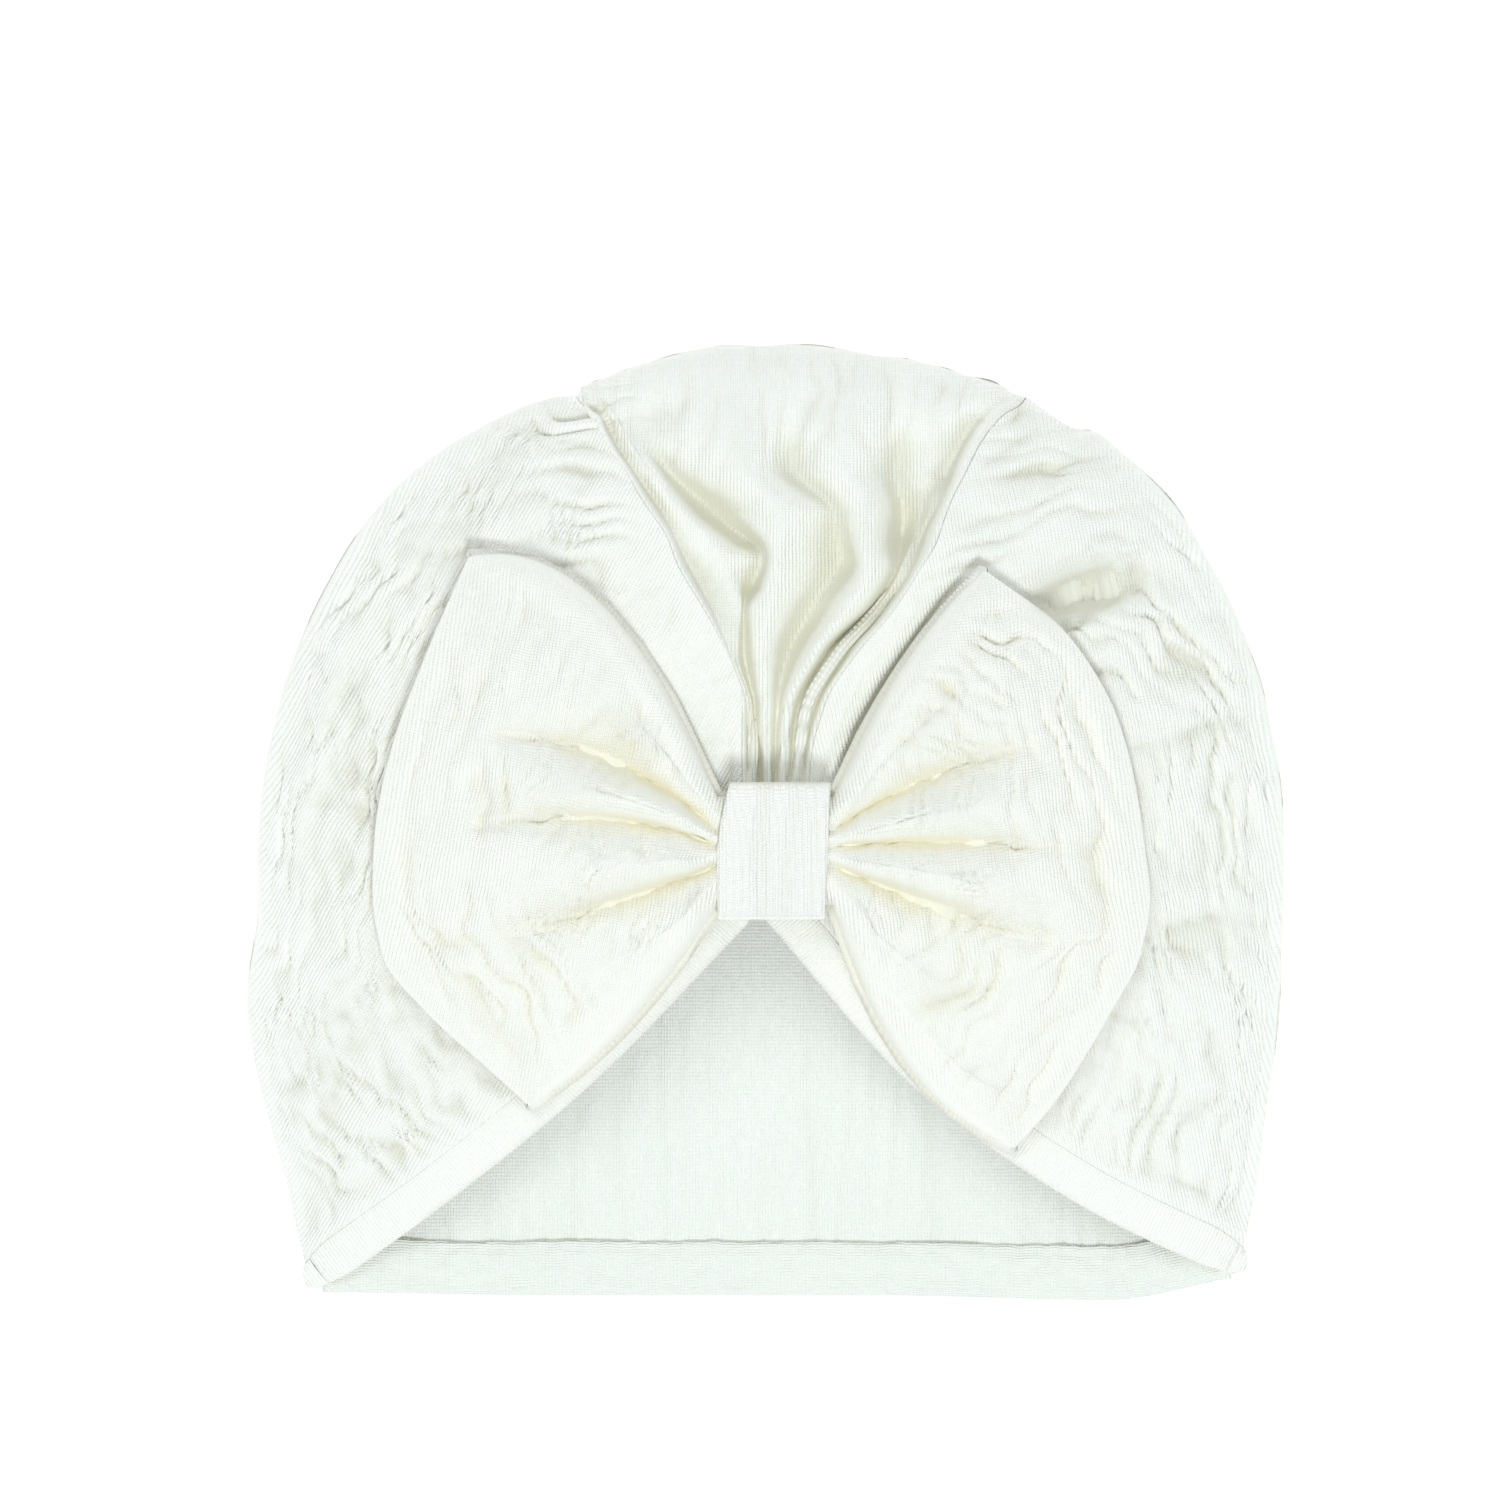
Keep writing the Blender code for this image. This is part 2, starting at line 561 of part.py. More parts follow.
def wing_surface(side, stations, back):
    """One layer of a wing: columns along it, rows from its lower to its upper edge."""
    stations = np.asarray(stations)
    lines = wing_lines(side, stations)
    knots = np.arange(len(lines))
    rows = np.linspace(0, len(lines) - 1, (len(lines) - 1) * WING_STEPS + 1)
    grid = np.empty((len(stations), len(rows), 3))
    crease = np.array([row[10] for row in WING_LINES])
    drop = blend_drops(crease[:, None], rows)[:, 0]
    fade = smooth_through([p[0] for p in CREASE_FADE], [p[1] for p in CREASE_FADE], stations)
    edge = np.abs(rows / rows[-1] * 2 - 1)
    for k, t in enumerate(stations):
        for axis in range(2):
            grid[k, :, axis] = smooth_through(knots, lines[:, k, axis], rows)
        seat = bow_seat(grid[k, :, 0], grid[k, :, 1])
        near_waist = 1 - smooth_step(t, 0.0, 0.25)
        seat = seat * (1 - near_waist) + waist_seat() * near_waist
        seat = np.maximum(seat, bow_seat(grid[k, :, 0], grid[k, :, 1]))
        low, high = WING_SWELL_SPAN
        swell = math.sin(math.pi * (low + (high - low) * t)) ** WING_SWELL_ROUNDNESS
        middle = WAIST_THICKNESS + (WING_LOFT - WAIST_THICKNESS) * swell
        waist_rim = WAIST_THICKNESS * WAIST_EDGE_SHARE
        rim_loft = waist_rim + (WING_EDGE_LOFT - waist_rim) * smooth_step(t, 0.0, 0.4)
        loft = rim_loft + (middle - rim_loft) * np.sqrt(1 - edge ** WING_EDGE_ROUNDNESS)
        centre = seat + WING_END_THICKNESS / 2
        closing = math.sqrt(1 - t ** WING_FOLD_ROUNDNESS)
        if back:
            grid[k, :, 2] = centre - WING_END_THICKNESS / 2 * closing
        else:
            grid[k, :, 2] = centre + (loft - WING_END_THICKNESS / 2 - drop * WING_CREASE_DEPTH * fade[k]) * closing
    return grid


def waist_layer(share, back):
    """Rows of the bow under the band, at a share of the waist's half width."""
    rows = np.linspace(0, len(WING_LINES) - 1, (len(WING_LINES) - 1) * WING_STEPS + 1)
    places = np.array([row[1] for row in WING_LINES])
    up = KNOT[1] + WAIST_HALF_HEIGHT * smooth_through(np.arange(len(places)), places, rows)
    across = np.full(len(rows), KNOT[0] + share * WAIST_HALF_WIDTH)
    edge = np.abs(rows / rows[-1] * 2 - 1)
    crease = np.array([row[10] for row in WING_LINES])
    drop = blend_drops(crease[:, None], rows)[:, 0] * WING_CREASE_DEPTH * CREASE_FADE[0][1]
    low = waist_seat() + WAIST_ROUNDING * edge ** WAIST_CORNER_ROUNDNESS
    swell = np.sqrt(1 - edge ** WING_EDGE_ROUNDNESS)
    high = waist_seat() + WAIST_THICKNESS * (WAIST_EDGE_SHARE + (1 - WAIST_EDGE_SHARE) * swell) - drop
    return np.column_stack([across, up, low if back else high])


def make_bow():
    """One closed loop of cloth: front from the left fold to the right fold, then back again."""
    front = np.array(WING_STATIONS)
    back = np.array(WING_BACK_STATIONS)
    columns = list(wing_surface(-1, front[::-1], False))
    columns += [waist_layer(share, False) for share in (-1.0, 0.0, 1.0)]
    columns += list(wing_surface(1, front, False))
    columns += list(wing_surface(1, back, True))
    columns += [waist_layer(share, True) for share in (1.0, 0.0, -1.0)]
    columns += list(wing_surface(-1, back[::-1], True))
    return grid_object("bow", np.array(columns)[:, ::-1], close_columns=True)


# Knot band

BAND_TURNS = 24
BAND_COLUMNS = 5
BAND_SQUARENESS = 8.0


def make_knot_band():
    """Closed ring of cloth round the bow's waist."""
    half_up = BAND_HEIGHT / 2
    low = waist_seat() - GAP - CLOTH
    high = waist_seat() + WAIST_THICKNESS + GAP + CLOTH
    middle = (low + high) / 2
    columns = []
    for turn in np.arange(BAND_TURNS) * 2 * math.pi / BAND_TURNS:
        c = math.cos(turn)
        s = math.sin(turn)
        round_y = math.copysign(abs(c) ** (2 / BAND_SQUARENESS), c)
        round_z = math.copysign(abs(s) ** (2 / BAND_SQUARENESS), s)
        across = np.linspace(-BAND_WIDTH / 2, BAND_WIDTH / 2, BAND_COLUMNS) + KNOT[0]
        up = np.full(BAND_COLUMNS, KNOT[1] + half_up * round_y)
        height = np.full(BAND_COLUMNS, middle + (high - low) / 2 * round_z)
        columns.append(np.column_stack([across, up, height]))
    return grid_object("knot_band", np.array(columns)[:, ::-1], close_columns=True)


def cloth_material(name, colour):
    material = bpy.data.materials.new(name)
    material.use_nodes = True
    shader = material.node_tree.nodes["Principled BSDF"]
    shader.inputs["Base Color"].default_value = (*colour, 1.0)
    shader.inputs["Roughness"].default_value = CLOTH_ROUGHNESS
    shader.inputs["Metallic"].default_value = 0.0
    return material


def main():
    clear_scene()
    hat = bpy.data.collections.new("baby_turban_hat")
    bpy.context.scene.collection.children.link(hat)
    for make in (make_crown, make_front_hem, make_back_hem, make_bow, make_knot_band):
        piece = make()
        piece.data.materials.append(cloth_material(piece.name + "_cloth", COLOURS[piece.name]))
        hat.objects.link(piece)


main()
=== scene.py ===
"""Looks of the baby turban hat: fine cloth for every piece of the frame, with its lights, floor and camera.

X runs across the hat, Y from the opening towards the crown's top, Z up towards the camera, in metres.
The outlines keep the solids' shares of the two half sizes. The pleats, creases and puckers are finer than in
the solids, and near the knot the pleats follow the photograph more closely.
"""
import functools
import math

import bpy
import numpy as np
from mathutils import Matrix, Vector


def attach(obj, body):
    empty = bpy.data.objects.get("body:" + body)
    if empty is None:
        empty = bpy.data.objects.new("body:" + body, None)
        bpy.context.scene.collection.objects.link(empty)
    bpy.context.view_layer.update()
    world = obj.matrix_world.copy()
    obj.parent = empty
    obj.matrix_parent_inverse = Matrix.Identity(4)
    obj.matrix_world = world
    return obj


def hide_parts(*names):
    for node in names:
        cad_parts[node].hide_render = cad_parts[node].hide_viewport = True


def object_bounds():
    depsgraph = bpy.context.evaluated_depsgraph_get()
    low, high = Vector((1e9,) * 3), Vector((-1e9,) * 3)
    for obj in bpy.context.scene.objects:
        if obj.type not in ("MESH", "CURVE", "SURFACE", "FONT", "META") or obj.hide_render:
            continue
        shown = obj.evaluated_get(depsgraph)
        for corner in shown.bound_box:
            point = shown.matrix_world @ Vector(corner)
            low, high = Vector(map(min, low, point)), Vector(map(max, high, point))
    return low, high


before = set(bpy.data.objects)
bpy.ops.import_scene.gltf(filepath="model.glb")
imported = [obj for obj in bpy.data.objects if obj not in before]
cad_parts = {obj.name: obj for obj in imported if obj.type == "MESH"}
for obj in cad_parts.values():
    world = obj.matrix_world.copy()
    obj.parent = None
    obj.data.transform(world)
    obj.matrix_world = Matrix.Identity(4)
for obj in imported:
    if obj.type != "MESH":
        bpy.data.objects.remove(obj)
CAD_BOX = [list(corner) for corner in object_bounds()]

# Sizes of the pieces, in metres; the two half sizes come from the solids.
HALF_WIDTH = (CAD_BOX[1][0] - CAD_BOX[0][0]) / 2
HALF_HEIGHT = (CAD_BOX[1][1] - CAD_BOX[0][1]) / 2
MM = 0.001
CROWN_RISE = 21 * MM
CLOTH = 1.3 * MM
GAP = 0.3 * MM
SIDE_FOLD_RADIUS = 4.5 * MM
CORNER_FOLD_RADIUS = 2.6 * MM
PLEAT_DEPTH = 9.5 * MM
KNOT_DIP = 3 * MM
KNOT_DIP_REACH = 30 * MM
FRONT_HEM_WIDTH = 5.5 * MM
FRONT_HEM_THICKNESS = 3.4 * MM
BACK_HEM_HEIGHT = 10 * MM
BAND_WIDTH = 20.6 * MM
BAND_HEIGHT = 25.2 * MM
WAIST_THICKNESS = 8 * MM
WAIST_ROUNDING = 1 * MM
WING_LOFT = 16.5 * MM
WING_EDGE_LOFT = 6 * MM
WING_END_THICKNESS = 4.6 * MM
WING_CREASE_DEPTH = 7 * MM

# Shapes of the curves: exponents, shares and spans.
DOME_ROUNDNESS = 2.6
OPENING_FALL = 0.42
OPENING_FALL_ANGLES = (math.radians(95), math.radians(140))
OPENING_FALL_REACH = 0.5
CORNER_FOLD_SPAN = (-0.95, -0.3)
WING_SWELL_SPAN = (0.12, 0.98)
WING_SWELL_ROUNDNESS = 0.8
WING_FOLD_ROUNDNESS = 5
WING_EDGE_ROUNDNESS = 3.2
WAIST_EDGE_SHARE = 0.5
WAIST_CORNER_ROUNDNESS = 6
BAND_SQUARENESS = 8

KNOT = np.array([0.019, -0.058]) * (HALF_WIDTH, HALF_HEIGHT)

# The photograph's frame: its side in pixels, where the hat's middle is, and the pixels in its half width.
PHOTO_SIDE = 1500
PHOTO_MIDDLE = (765.0, 822.5)
PHOTO_HALF_WIDTH = 521.5
PIXEL = HALF_WIDTH / PHOTO_HALF_WIDTH

# Heights, as shares of the half height, at which the pleat tables give their places.
PLEAT_LEVELS = (0.02, 0.10, 0.24, 0.35, 0.45, 0.55, 0.64, 0.74, 0.85)

# Plain cloth of the flanks, left: name, start across, start up, rim across, rim up, bend.
LEFT_FLANK = (
    ("low", -0.073, -0.130, -0.922, -0.761, 0.030),
    ("bulge", -0.075, -0.099, -0.999, -0.390, 0.0),
    ("waist", -0.073, -0.068, -0.978, -0.160, 0.0),
    ("side", -0.069, -0.036, -0.965, 0.120, 0.0),
    ("shoulder", -0.063, -0.011, -0.869, 0.442, 0.0),
    ("upper", -0.058, 0.009, -0.721, 0.692, 0.0),
)

# Plain cloth of the flanks, right, in the same columns.
RIGHT_FLANK = (
    ("brow", 0.106, 0.014, 0.642, 0.813, 0.0),
    ("upper", 0.108, 0.006, 0.767, 0.692, 0.0),
    ("shoulder", 0.109, -0.011, 0.876, 0.505, 0.0),
    ("side", 0.109, -0.036, 0.965, 0.255, 0.0),
    ("waist", 0.106, -0.068, 1.000, -0.010, 0.0),
    ("bulge", 0.098, -0.099, 0.995, -0.330, 0.0),
    ("low", 0.084, -0.123, 0.959, -0.682, -0.030),
)

# Lines of the pleats: name, then places across at the nine levels, then the rim's place across and up.
PLEAT_LINES = (
    ("left_panel", -0.066, -0.066, -0.084, -0.135, -0.205, -0.270, -0.326, -0.385, -0.430, -0.455, 0.875),
    ("left_edge", -0.045, -0.045, -0.042, -0.074, -0.127, -0.172, -0.216, -0.268, -0.331, -0.370, 0.902),
    ("left_step", -0.035, -0.035, -0.034, -0.064, -0.108, -0.150, -0.192, -0.248, -0.315, -0.349, 0.913),
    ("inner_layer", -0.022, -0.022, -0.026, -0.052, -0.055, -0.088, -0.150, -0.225, -0.290, -0.316, 0.927),
    ("deep_valley", -0.009, -0.010, -0.018, -0.042, -0.034, -0.014, -0.100, -0.188, -0.220, -0.224, 0.962),
    ("centre_fold", 0.006, 0.005, 0.001, -0.004, 0.004, 0.022, 0.024, -0.040, -0.060, -0.086, 0.996),
    ("centre_valley", 0.020, 0.020, 0.024, 0.048, 0.092, 0.140, 0.138, 0.060, 0.044, 0.038, 1.000),
    ("main_pleat", 0.034, 0.035, 0.045, 0.090, 0.160, 0.205, 0.195, 0.155, 0.163, 0.186, 0.983),
    ("main_valley", 0.048, 0.050, 0.066, 0.120, 0.206, 0.255, 0.258, 0.254, 0.266, 0.293, 0.965),
    ("slim_pleat", 0.057, 0.060, 0.080, 0.136, 0.222, 0.272, 0.290, 0.312, 0.350, 0.389, 0.936),
    ("slim_valley", 0.068, 0.072, 0.095, 0.151, 0.236, 0.288, 0.318, 0.352, 0.412, 0.466, 0.909),
    ("right_edge", 0.081, 0.086, 0.112, 0.176, 0.258, 0.308, 0.346, 0.392, 0.455, 0.508, 0.892),
    ("right_panel", 0.102, 0.112, 0.165, 0.226, 0.309, 0.372, 0.440, 0.500, 0.552, 0.594, 0.826),
)

# Depth of each of those lines below the dome at the nine levels and at the rim, as a share of PLEAT_DEPTH:
# the valleys go deeper here than in the solids.
PLEAT_DROPS = (
    ("left_panel", 0.10, 0.05, 0.00, 0.00, 0.00, 0.00, 0.00, 0.00, 0.00, 0.00),
    ("left_edge", 0.15, 0.10, 0.05, 0.00, 0.00, 0.00, 0.00, 0.10, 0.10, 0.05),
    ("left_step", 0.25, 0.30, 0.45, 0.70, 0.90, 0.95, 0.90, 0.70, 0.45, 0.20),
    ("inner_layer", 0.15, 0.15, 0.25, 0.35, 0.40, 0.40, 0.40, 0.35, 0.25, 0.08),
    ("deep_valley", 0.30, 0.38, 0.55, 0.85, 1.20, 1.30, 1.20, 0.85, 0.35, 0.05),
    ("centre_fold", 0.12, 0.10, 0.08, 0.12, 0.10, 0.05, 0.00, 0.10, 0.05, 0.00),
    ("centre_valley", 0.30, 0.36, 0.50, 0.75, 1.10, 1.15, 0.95, 0.65, 0.25, 0.00),
    ("main_pleat", 0.10, 0.05, 0.05, 0.08, 0.02, 0.00, 0.02, 0.10, 0.05, 0.00),
    ("main_valley", 0.30, 0.36, 0.50, 0.70, 0.90, 1.05, 1.20, 0.95, 0.35, 0.00),
    ("slim_pleat", 0.12, 0.12, 0.20, 0.28, 0.45, 0.60, 0.80, 0.65, 0.22, 0.00),
    ("slim_valley", 0.28, 0.32, 0.45, 0.60, 0.75, 0.90, 1.05, 0.85, 0.40, 0.10),
    ("right_edge", 0.18, 0.18, 0.18, 0.12, 0.05, 0.00, 0.00, 0.05, 0.05, 0.00),
    ("right_panel", 0.10, 0.05, 0.00, 0.00, 0.00, 0.00, 0.00, 0.00, 0.00, 0.00),
)

# Broad dents of the flanks: name, across, up, half length, half width (shares of the half width),
# turn in degrees from the X axis, depth as a share of PLEAT_DEPTH.
DENTS = (
    ("right_pocket", 0.600, 0.480, 0.100, 0.036, 16.0, 0.85),
    ("right_shoulder", 0.770, 0.520, 0.100, 0.045, 8.0, 0.25),
    ("right_side", 0.800, 0.330, 0.110, 0.060, 60.0, 0.28),
    ("right_waist", 0.860, -0.060, 0.190, 0.070, 85.0, 0.30),
    ("right_low", 0.860, -0.250, 0.110, 0.040, 4.0, 0.22),
    ("left_shoulder", -0.590, 0.570, 0.110, 0.060, -52.0, 0.32),
    ("left_side", -0.800, 0.240, 0.160, 0.055, 74.0, 0.26),
    ("left_waist", -0.850, -0.060, 0.140, 0.065, 80.0, 0.32),
    ("left_low", -0.800, -0.520, 0.150, 0.055, 68.0, 0.24),
)

# Lines of the bow: name, place at the waist (share of the waist's half height), left middle across and up,
# left end across and up, right middle across and up, right end across and up, crease depth
# (share of WING_CREASE_DEPTH).
WING_LINES = (
    ("lower_edge", -1.00, -0.263, -0.421, -0.451, -0.590, 0.268, -0.499, 0.479, -0.677, 0.0),
    ("lower_corner", -0.86, -0.305, -0.390, -0.545, -0.498, 0.350, -0.500, 0.558, -0.578, 0.0),
    ("lower_ridge", -0.58, -0.320, -0.310, -0.652, -0.390, 0.384, -0.370, 0.662, -0.394, 0.0),
    ("lower_crease", -0.28, -0.340, -0.190, -0.733, -0.276, 0.393, -0.203, 0.720, -0.270, 1.0),
    ("middle_ridge", -0.10, -0.370, -0.090, -0.752, -0.140, 0.425, -0.120, 0.737, -0.155, 0.1),
    ("middle_crease", 0.08, -0.385, 0.005, -0.748, -0.030, 0.425, -0.050, 0.727, -0.055, 0.8),
    ("upper_ridge", 0.22, -0.385, 0.080, -0.734, 0.070, 0.425, 0.040, 0.710, 0.070, 0.1),
    ("upper_crease", 0.38, -0.385, 0.155, -0.708, 0.180, 0.384, 0.113, 0.675, 0.215, 0.9),
    ("top_ridge", 0.66, -0.345, 0.300, -0.645, 0.360, 0.345, 0.255, 0.575, 0.395, 0.0),
    ("top_edge", 1.00, -0.316, 0.457, -0.568, 0.553, 0.270, 0.335, 0.420, 0.524, 0.0),
)

# How far along a wing its creases hold their depth: share of the wing's length, share of the depth.
CREASE_FADE = ((0.0, 0.25), (0.08, 0.65), (0.20, 1.00), (0.38, 0.95), (0.55, 0.60), (0.72, 0.15), (0.85, 0.0),
               (1.0, 0.0))

# Edge of the front opening, across and up, from each corner to the knot.
LEFT_OPENING = ((-0.851, -0.981), (-0.608, -0.790), (-0.328, -0.540), (-0.036, -0.215))
RIGHT_OPENING = ((0.897, -0.953), (0.604, -0.797), (0.286, -0.551), (-0.002, -0.200))

# Edge of the back wall: across and up.
BACK_EDGE = ((-0.845, -0.983), (-0.400, -0.990), (0.200, -0.990), (0.660, -1.000), (0.893, -0.955))

# Puckers of the crown's cloth by region: name, middle across and up in the photograph, reach in pixels,
# turn in degrees, length and spacing in millimetres, depth of the thin valleys and of the soft swells as
# shares of PUCKER_SCALE.
CROWN_PUCKERS = (
    ("upper_left", 520, 480, 105, -8, 13.0, 4.6, 0.55, 0.30),
    ("left_shoulder", 385, 620, 95, 58, 8.0, 4.2, 0.40, 0.45),
    ("left_side", 310, 800, 105, 80, 8.0, 4.0, 0.50, 0.50),
    ("left_bulge", 300, 960, 95, 70, 8.0, 4.0, 0.40, 0.40),
    ("left_low", 370, 1140, 120, -38, 8.0, 4.2, 0.55, 0.50),
    ("crown_top", 780, 400, 150, 88, 15.0, 5.0, 0.22, 0.35),
    ("pleats", 780, 620, 120, 60, 9.0, 5.0, 0.08, 0.16),
    ("right_brow", 1040, 500, 90, 14, 14.0, 5.0, 0.40, 0.25),
    ("right_shoulder", 1200, 640, 95, -42, 9.0, 4.2, 0.50, 0.45),
    ("right_side", 1220, 820, 100, 96, 9.0, 3.8, 0.40, 0.40),
    ("right_bulge", 1210, 980, 100, -55, 9.0, 4.0, 0.40, 0.40),
    ("right_low", 1180, 1130, 100, 72, 10.0, 4.2, 0.40, 0.40),
)

# Puckers of the bow, in the same columns.
BOW_PUCKERS = (
    ("left_top", 520, 620, 90, 78, 14.0, 4.8, 0.26, 0.40),
    ("left_outer", 430, 800, 90, 84, 15.0, 4.8, 0.30, 0.45),
    ("left_inner", 620, 760, 90, 60, 10.0, 4.0, 0.28, 0.35),
    ("left_lobes", 620, 860, 70, 86, 7.0, 3.0, 0.28, 0.22),
    ("left_bottom", 500, 1000, 100, -62, 12.0, 4.4, 0.35, 0.45),
    ("right_top", 940, 680, 80, -24, 9.0, 3.8, 0.50, 0.35),
    ("right_outer", 1080, 790, 90, 100, 14.0, 4.6, 0.32, 0.40),
    ("right_lobes", 920, 850, 80, 94, 7.0, 3.2, 0.32, 0.24),
    ("right_bottom", 960, 1010, 100, 48, 11.0, 4.6, 0.38, 0.45),
)

# Single folds that show as thin lines: name, points in the photograph, depth and the widths of its two
# sides in millimetres, left side of the line first.
CROWN_CREASES = (
    ("brow_line", ((987, 478), (1043, 464), (1090, 455), (1119, 451)), 0.9, 1.0, 1.8),
    ("brow_upper", ((978, 470), (1024, 435), (1046, 421)), 0.7, 1.0, 1.6),
    ("brow_rim", ((1010, 425), (1022, 405), (1026, 390)), 0.7, 0.9, 1.4),
    ("flank_one", ((474, 438), (500, 444), (533, 452)), 0.7, 0.8, 1.6),
    ("flank_two", ((552, 459), (575, 466), (602, 476)), 0.6, 0.8, 1.6),
    ("flank_three", ((458, 474), (488, 472), (520, 479)), 0.6, 0.8, 1.6),
    ("flank_four", ((478, 500), (510, 496), (545, 492)), 0.6, 0.8, 1.6),
    ("flank_five", ((505, 420), (528, 424), (552, 430)), 0.6, 0.8, 1.6),
    ("flank_six", ((540, 440), (572, 436), (600, 440)), 0.5, 0.8, 1.6),
    ("flank_seam", ((458, 470), (466, 495), (480, 524)), 0.5, 1.2, 1.6),
    ("side_zig", ((346, 758), (349, 775), (344, 792)), 0.8, 0.9, 1.8),
    ("side_zag", ((365, 773), (369, 788), (362, 800)), 0.8, 0.9, 1.8),
    ("side_dark", ((342, 800), (356, 812), (372, 818)), 1.0, 1.2, 3.0),
    ("pocket_lip", ((1040, 640), (1058, 632), (1090, 607), (1130, 588)), 2.2, 4.0, 0.7),
    ("panel_gap", ((836, 782), (856, 732), (886, 682), (914, 643), (938, 606), (966, 570)), 1.9, 0.9, 2.4),
    ("right_band", ((1128, 748), (1165, 742), (1212, 726), (1280, 712)), 0.7, 1.0, 2.4),
    ("right_low_band", ((1146, 922), (1180, 930), (1220, 918), (1270, 926)), 0.6, 1.0, 2.2),
    ("right_wave_one", ((1172, 640), (1190, 656), (1216, 680)), 0.7, 1.0, 1.8),
    ("topstitch", ((1050, 1134), (1113, 1165), (1160, 1178), (1201, 1192), (1236, 1221)), 0.5, 0.5, 0.8),
    ("right_wave_two", ((1150, 615), (1176, 622), (1205, 642)), 0.6, 1.0, 1.8),
)

BOW_CREASES = (
    ("left_hollow", ((650, 777), (622, 745), (596, 712)), 0.7, 5.0, 5.0),
    ("left_edge_line", ((735, 740), (712, 715), (690, 700)), 0.4, 1.6, 1.6),
    ("left_line_one", ((500, 770), (506, 800), (511, 822)), 0.7, 0.9, 2.0),
    ("left_low_one", ((430, 925), (445, 945), (470, 952)), 0.7, 1.2, 2.4),
    ("left_low_two", ((505, 928), (530, 955), (560, 975)), 0.7, 1.2, 2.4),
    ("left_low_three", ((450, 960), (480, 1000), (500, 1040)), 0.6, 1.2, 2.6),
    ("right_line_one", ((880, 700), (915, 712), (935, 728)), 0.8, 1.0, 1.8),
    ("right_line_two", ((862, 728), (900, 738), (925, 746)), 0.8, 1.0, 1.8),
    ("right_line_three", ((905, 665), (940, 680), (968, 702)), 0.7, 1.0, 1.8),
    ("right_line_four", ((935, 628), (965, 632), (990, 650)), 0.6, 1.0, 1.8),
    ("right_low_ridge", ((900, 1020), (950, 1002), (1000, 985)), 0.9, 2.6, 1.6),
    ("right_inner_line", ((1098, 820), (1104, 860), (1110, 905), (1104, 945)), 0.5, 1.6, 3.0),
)


# Curves and shares

def smooth_through(knots, values, at):
    """Monotone cubic through (knots, values): smooth, and never past its own points."""
    knots = np.asarray(knots, float)
    values = np.asarray(values, float)
    at = np.clip(np.asarray(at, float), knots[0], knots[-1])
    step = np.diff(knots)
    slope = np.diff(values) / step
    tangent = np.empty_like(values)
    tangent[0] = slope[0]
    tangent[-1] = slope[-1]
    product = slope[:-1] * slope[1:]
    total = slope[:-1] + slope[1:]
    safe = np.where(product > 0, total, 1.0)
    tangent[1:-1] = np.where(product > 0, 2 * product / safe, 0.0)
    i = np.clip(np.searchsorted(knots, at, side="right") - 1, 0, len(step) - 1)
    t = (at - knots[i]) / step[i]
    h = step[i]
    rise = values[i] * (1 + 2 * t) * (1 - t) ** 2 + values[i + 1] * t * t * (3 - 2 * t)
    return rise + h * tangent[i] * t * (1 - t) ** 2 - h * tangent[i + 1] * t * t * (1 - t)


def through_points(knots, points, at):
    """Places on the smooth line through points of the plane."""
    return np.stack([smooth_through(knots, points[:, axis], at) for axis in (0, 1)], axis=-1)


def lengths_along(points):
    """Length of the way through the points up to each of them."""
    return np.concatenate([[0.0], np.cumsum(np.linalg.norm(np.diff(points, axis=0), axis=1))])


def unit(vectors):
    """The same directions with a length of one."""
    return vectors / np.linalg.norm(vectors, axis=-1, keepdims=True)


def turned(across, up, turn):
    """Distances along and beside a direction that is turned from the X axis by turn degrees."""
    c = math.cos(math.radians(turn))
    s = math.sin(math.radians(turn))
    return across * c + up * s, up * c - across * s


def scaled(share_x, share_y):
    """A point in the plane from its shares of the two half sizes."""
    return np.array([share_x * HALF_WIDTH, share_y * HALF_HEIGHT])


def from_photo(pixel_x, pixel_y):
    """A point in the plane from its place in the photograph."""
    return np.array([(pixel_x - PHOTO_MIDDLE[0]) * PIXEL, (PHOTO_MIDDLE[1] - pixel_y) * PIXEL])


def smooth_step(value, low, high):
    """0 up to low, 1 from high on, and smooth in between."""
    t = np.clip((value - low) / (high - low), 0.0, 1.0)
    return t * t * (3 - 2 * t)


# Noise and puckers

# Seeds of the random parts, and the step between the seeds of two regions.
WOBBLE_SEED = 71
UNEVEN_SEED = 72
RIM_SEED = 73
CROWN_ROLLING_SEED = 90
BOW_ROLLING_SEED = 95
CROWN_SEED = 100
BOW_SEED = 500
NOTCH_SEED = 520
BAND_SEED = 611
REGION_SEED_STEP = 10

# Cells of the noise before it repeats, and what brings it to about -1 to 1.
NOISE_CELLS = 256
NOISE_GAIN = 1.5

# Smallest weight or length that anything is divided by.
TINY_WEIGHT = 1e-6
TINY_LENGTH = 1e-9

# Puckers: depth and painted shade, sharpness and least strength of the valleys, where the strength grows, and
# how closely a region keeps to its middle.
PUCKER_SCALE = 3.6 * MM
PUCKER_SHADE = 0.28
VALLEY_SHARPNESS = 1.3
VALLEY_LEAST = 0.15
VALLEY_SPAN = (-0.50, 0.55)
REGION_FOCUS = 1.5

# Single folds: factor on their depth, painted shade, reach in widths, and how they run out at both ends.
CREASE_BOOST = 1.6
CREASE_SHADE = 0.7
CREASE_REACH = 4
CREASE_ENDS = (0.02, 0.98)
CREASE_TAPER = 0.6

# Slow unevenness of the cloth.
ROLLING_DEPTH = 0.9 * MM
ROLLING_SPACING = 13 * MM

